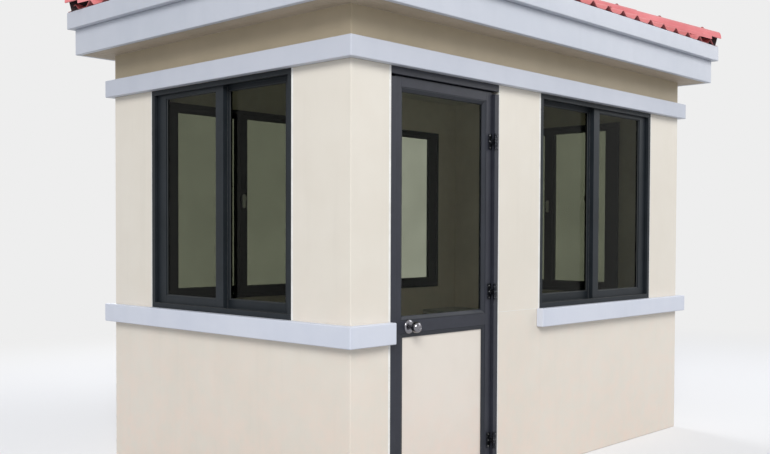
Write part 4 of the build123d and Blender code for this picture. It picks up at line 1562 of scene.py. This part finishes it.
@dataclass
class Door(SubAssembly):
    """The door: frame, leaf, infill, hinges and knob."""

    rounding: float = 0.0014
    bead_round: float = 0.0008
    panel_round: float = 0.001
    hinge_round: float = 0.0007
    sealant_gap: float = 0.001
    knob_place: tuple[float, float] = (-1.179, 0.8875)
    outer_face: float = -0.986
    inner_face: float = -0.941
    spindle_radius: float = 0.0076
    spindle_end: float = 0.0105
    keyway_round: float = 0.0008
    keyway_half: float = 0.003
    keyway_depth: tuple[float, float] = (0.0700, 0.07225)
    hinge_heights: tuple[float, float, float] = (0.227, 1.035, 1.843)
    hinge_x: float = -0.513
    screw_offsets: tuple[float, float, float] = (-0.032, 0.0, 0.032)
    # The screws on the jambs and on the leaf: how far they are from the hinge line, and the face that they are in.
    jamb_screws: tuple[float, float] = (0.021, -1.0063)
    leaf_screws: tuple[float, float] = (-0.019, -0.9893)
    screw: Array = field(default_factory=lambda: np.array(
        [(0, 0.0004), (0.0012, 0.0004), (0.0014, 0.0009), (0.0030, 0.0010), (0.0038, 0.0004), (0.0040, -0.001)]))
    bead: Array = field(default_factory=lambda: np.array(
        [(0.0001, 0.001), (0.0001, -0.0028), (0.0030, -0.0032), (0.0110, 0.0)]))
    rose: Array = field(default_factory=lambda: np.array(
        [(0.0090, 0.0), (0.0090, 0.0096), (0.0150, 0.0098), (0.0205, 0.0096), (0.0275, 0.0080), (0.0322, 0.0052),
         (0.0346, 0.0026), (0.0350, 0.0), (0.0090, 0.0)]))
    head: Array = field(default_factory=lambda: np.array(
        [(0.0, 0.0104), (0.0118, 0.0106), (0.0108, 0.0150), (0.0104, 0.0195), (0.0140, 0.0248), (0.0208, 0.0308),
         (0.0262, 0.0388), (0.0279, 0.0480), (0.0266, 0.0572), (0.0222, 0.0648), (0.0158, 0.0694), (0.0128, 0.0700),
         (0.0118, 0.0690), (0.0110, 0.0700), (0.0070, 0.0716), (0.0, 0.0721)]))

    def axis_point(self, face: float) -> Array:
        """The point where the knob's axis passes a face of the leaf."""
        return np.array([self.knob_place[0], face, self.knob_place[1]])

    def on_both_faces(self, outline: Array) -> list[Object]:
        """The same turned shape about the knob's axis on the leaf's outer face and on its inner one."""
        return [turned("turned", outline, self.axis_point(face), away, 72)
                for face, away in ((self.outer_face, OUT), (self.inner_face, -OUT))]

    def knob(self) -> Object:
        """Both knob heads, turned, and the spindle between them.

        Returns:
            The knob as one piece.
        """
        outline = np.vstack([self.head[:2], smooth_line(self.head[1:11], 5), smooth_line(self.head[10:], 3)])
        start, end = -self.spindle_end, self.inner_face - self.outer_face + self.spindle_end
        spindle = np.array([(0, start), (self.spindle_radius, start), (self.spindle_radius, end), (0, end)])
        parts = self.on_both_faces(outline) + [turned("turned", spindle, self.axis_point(self.outer_face), -OUT, 32)]
        return evened(joined("round_knob", parts), crease=40)

    def keyway(self) -> Object:
        """The key's slot in the outer knob: a thin near-black plate with round ends, let into the face, as painted
        shade for the hollow slot.

        Returns:
            The plate.
        """
        turn = np.linspace(0, 2 * math.pi, 32, endpoint=False)
        x = self.knob_place[0] + self.keyway_round * np.cos(turn)
        z = self.keyway_round * np.sin(turn) + self.keyway_half * np.sign(np.sin(turn) + 1e-9)
        y = self.outer_face - np.array(self.keyway_depth)[:, None]
        return skin("keyway", np.stack(np.broadcast_arrays(x, y, self.knob_place[1] + z), axis=-1))

    def screw_heads(self, name: str, aside: float, face: float) -> Object:
        """Countersunk screw heads on one leaf of each hinge, three to a leaf.

        Args:
            name: The piece's name.
            aside: How far they are from the hinge line.
            face: The y of the face that they are in.

        Returns:
            The heads as one piece.
        """
        centres = np.array([(self.hinge_x + aside, face, height + offset)
                            for height in self.hinge_heights for offset in self.screw_offsets])
        return repeated(name, self.screw, centres, np.tile(OUT, (len(centres), 1)), 20)

    def sealant(self) -> Object:
        """The sealant beads along both jambs, above and below the band.

        Returns:
            The beads as one piece.
        """
        mirrored = self.bead * (-1, 1)
        below_band = BOOTH.sill_top - BOOTH.sill_height - self.sealant_gap
        return uprights("door_frame_sealant", Wall.FRONT, [
            (BOOTH.door_left, mirrored, self.sealant_gap, below_band),
            (BOOTH.door_left, mirrored, BOOTH.sill_top, BOOTH.head),
            (BOOTH.door_right, self.bead, self.sealant_gap, BOOTH.head)])

    def build(self) -> None:
        """Builds and dresses the door."""
        self.soft_copy("door_frame", "door_jambs_and_head", self.rounding, Look.DOOR_FRAME)
        self.soft_copy("door_leaf", "leaf_bars", self.rounding, Look.DOOR_FRAME, Body.DOOR)
        self.soft_copy("door_beads", "glazing_beads", self.bead_round, Look.BEAD, Body.DOOR)
        self.coat("door_glass", Look.DOOR_GLASS)
        self.soft_copy("door_panel", "lower_door_panel", self.panel_round, Look.DOOR_PANEL, Body.DOOR)
        self.soft_copy("hinge_frame_leaves", "hinge_halves_on_jamb", self.hinge_round, Look.HINGE)
        self.soft_copy("hinge_door_leaves", "hinge_halves_on_leaf", self.hinge_round, Look.HINGE, Body.DOOR)
        self.settle(self.screw_heads("jamb_hinge_screws", *self.jamb_screws), Look.SCREW)
        self.settle(self.screw_heads("leaf_hinge_screws", *self.leaf_screws), Look.SCREW, Body.DOOR)
        roses = evened(joined("knob_rose_plates", self.on_both_faces(self.rose)), crease=40)
        self.settle(roses, Look.KNOB, Body.DOOR, "knob_roses")
        self.settle(self.knob(), Look.KNOB, Body.KNOB, "door_knob")
        self.settle(self.keyway(), Look.KEYHOLE, Body.KNOB)
        self.settle(self.sealant(), Look.SEALANT)


# ---------------------------------------------------------------- studio and camera

def posed(item: Object, right: Array, upward: Array, back: Array, place: Array) -> Object:
    """Places an object by its three axes and its origin."""
    item.matrix_world = Matrix(np.vstack([np.column_stack([right, upward, back, place]), [0, 0, 0, 1]]).tolist())
    return item


@dataclass(frozen=True)
class Viewpoint:
    """Where the photograph was taken from: eye point, angles in degrees, focal length and middle in pixels."""

    eye: Point = (-4.7582, -4.1851, 1.3493)
    yaw: float = 46.7833
    pitch: float = -1.4757
    roll: float = 0.2081
    focal: float = 975.4
    middle_y: float = 258.0
    width: int = 770
    height: int = 454
    sensor: float = 36.0
    clip_end: float = 200.0

    def build(self) -> None:
        """Makes the camera: it looks along yaw and pitch, turned by roll, and its shift puts the middle right."""
        yaw, pitch, roll = (math.radians(angle) for angle in (self.yaw, self.pitch, self.roll))
        ahead = np.array([math.sin(yaw) * math.cos(pitch), math.cos(yaw) * math.cos(pitch), math.sin(pitch)])
        level = np.array([math.cos(yaw), -math.sin(yaw), 0])
        upward = np.cross(level, ahead)
        lens = bpy.data.cameras.new("camera")
        lens.sensor_width = self.sensor
        lens.lens = self.sensor * self.focal / self.width
        lens.shift_y = (self.middle_y - self.height / 2) / self.width
        lens.clip_end = self.clip_end
        bpy.context.scene.camera = posed(
            linked("camera", lens), level * math.cos(roll) + upward * math.sin(roll),
            upward * math.cos(roll) - level * math.sin(roll), -ahead, self.eye)


@dataclass(frozen=True)
class Studio:
    """A pale floor and backdrop with soft light."""

    backdrop: str = "#EEEEEE"
    floor_tint: float = 0.80
    floor_bounce: float = 0.50
    floor_drop: float = 0.001
    sky_tint: str = "#F4F7FF"
    sky: float = 0.57
    near: float = 3.2
    far: float = 7.5
    size: float = 60.0
    squeeze: Point = (0.8, 1.0, 0.0)
    lamps: tuple[tuple[str, Point, Point, float, float], ...] = (
        ("key", (-12.5, -11.2, 10.5), (-0.3, -0.3, 1.3), 7.4, 2400),
        ("fill", (7.5, -5.0, 6.0), (0.3, 0.0, 1.3), 5.0, 260),
        ("back", (3.0, 8.5, 7.0), (0, 0.3, 1.3), 5.0, 420),
    )

    @staticmethod
    def seen(tree: Tree) -> Socket:
        """1 for what the camera sees, also in gloss and through glass.

        Args:
            tree: The tree to build it in.

        Returns:
            The share.
        """
        path = tree.add("LightPath").outputs
        direct = tree.number("MAXIMUM", path["Is Camera Ray"], path["Is Glossy Ray"])
        return tree.number("MAXIMUM", direct, path["Is Transmission Ray"])

    def world(self) -> None:
        """A sky that lights the booth evenly, and shows as the plain backdrop."""
        world = bpy.data.worlds.new("studio")
        tree = new_tree(world)
        light = tree.add("Background", {"Color": self.sky_tint, "Strength": self.sky})
        shown = tree.add("Background", {"Color": self.backdrop, "Strength": 1.0})
        mix = tree.add("MixShader", {0: self.seen(tree), 1: light.outputs[0], 2: shown.outputs[0]})
        tree.add("OutputWorld", {"Surface": mix.outputs[0]})
        bpy.context.scene.world = world

    def floor(self) -> None:
        """The floor keeps the booth's shadow near it, and further off and through glass turns into the backdrop."""
        half = self.size / 2
        corners = np.array([(x * half, y * half, -self.floor_drop) for x, y in ((-1, -1), (1, -1), (1, 1), (-1, 1))])
        floor = shape("studio_floor", corners, [[0, 1, 2, 3]])
        material = bpy.data.materials.new("studio_floor")
        tree = new_tree(material)
        seen = self.seen(tree)
        shades = ((value, value, value, 1) for value in (self.floor_bounce, self.floor_tint))
        ground = tree.add("BsdfDiffuse", {"Color": tree.blend(seen, *shades)})
        flat = tree.scaled(tree.add("TexCoord").outputs["Object"], self.squeeze)
        distance = tree.add("VectorMath", {0: flat}, operation="LENGTH").outputs["Value"]
        through = tree.add("LightPath").outputs["Is Transmission Ray"]
        away = tree.product(tree.number("MAXIMUM", tree.spread(distance, self.near, self.far), through), seen)
        glow = tree.add("Emission", {"Color": self.backdrop, "Strength": 1.0})
        mix = tree.add("MixShader", {0: away, 1: ground.outputs[0], 2: glow.outputs[0]})
        tree.add("OutputMaterial", {"Surface": mix.outputs[0]})
        floor.data.materials.append(material)

    @staticmethod
    def lamp(name: str, place: Point, aim: Point, size: float, power: float) -> None:
        """One large soft lamp that neither the camera nor the glass shows.

        Args:
            name: The lamp's name.
            place: Its middle.
            aim: The point that it looks at.
            size: The length of its side.
            power: Its power in watts.
        """
        data = bpy.data.lights.new(name, "AREA")
        data.size = size
        data.energy = power
        back = np.subtract(place, aim)
        back /= np.linalg.norm(back)
        side = np.cross(UP, back)
        side /= np.linalg.norm(side)
        lamp = posed(linked(name, data), side, np.cross(back, side), back, place)
        lamp.visible_camera = lamp.visible_transmission = False

    def build(self) -> None:
        """Builds the studio."""
        self.world()
        self.floor()
        for lamp in self.lamps:
            self.lamp(*lamp)
        bpy.context.scene.view_settings.view_transform = "Standard"


def main() -> None:
    """Builds the booth's looks, the studio and the camera."""
    logging.basicConfig(level=logging.INFO, format="%(name)s: %(message)s")
    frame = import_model()
    effects = Effects()
    materials = {look: look.value.material(effects) for look in Look}
    for kind in (Shell, Trim, Roof, SlidingWindows, Door):
        LOG.info("building %s", kind.__name__)
        kind(frame, materials).build()
    Studio().build()
    Viewpoint().build()


if __name__ == "__main__":
    main()
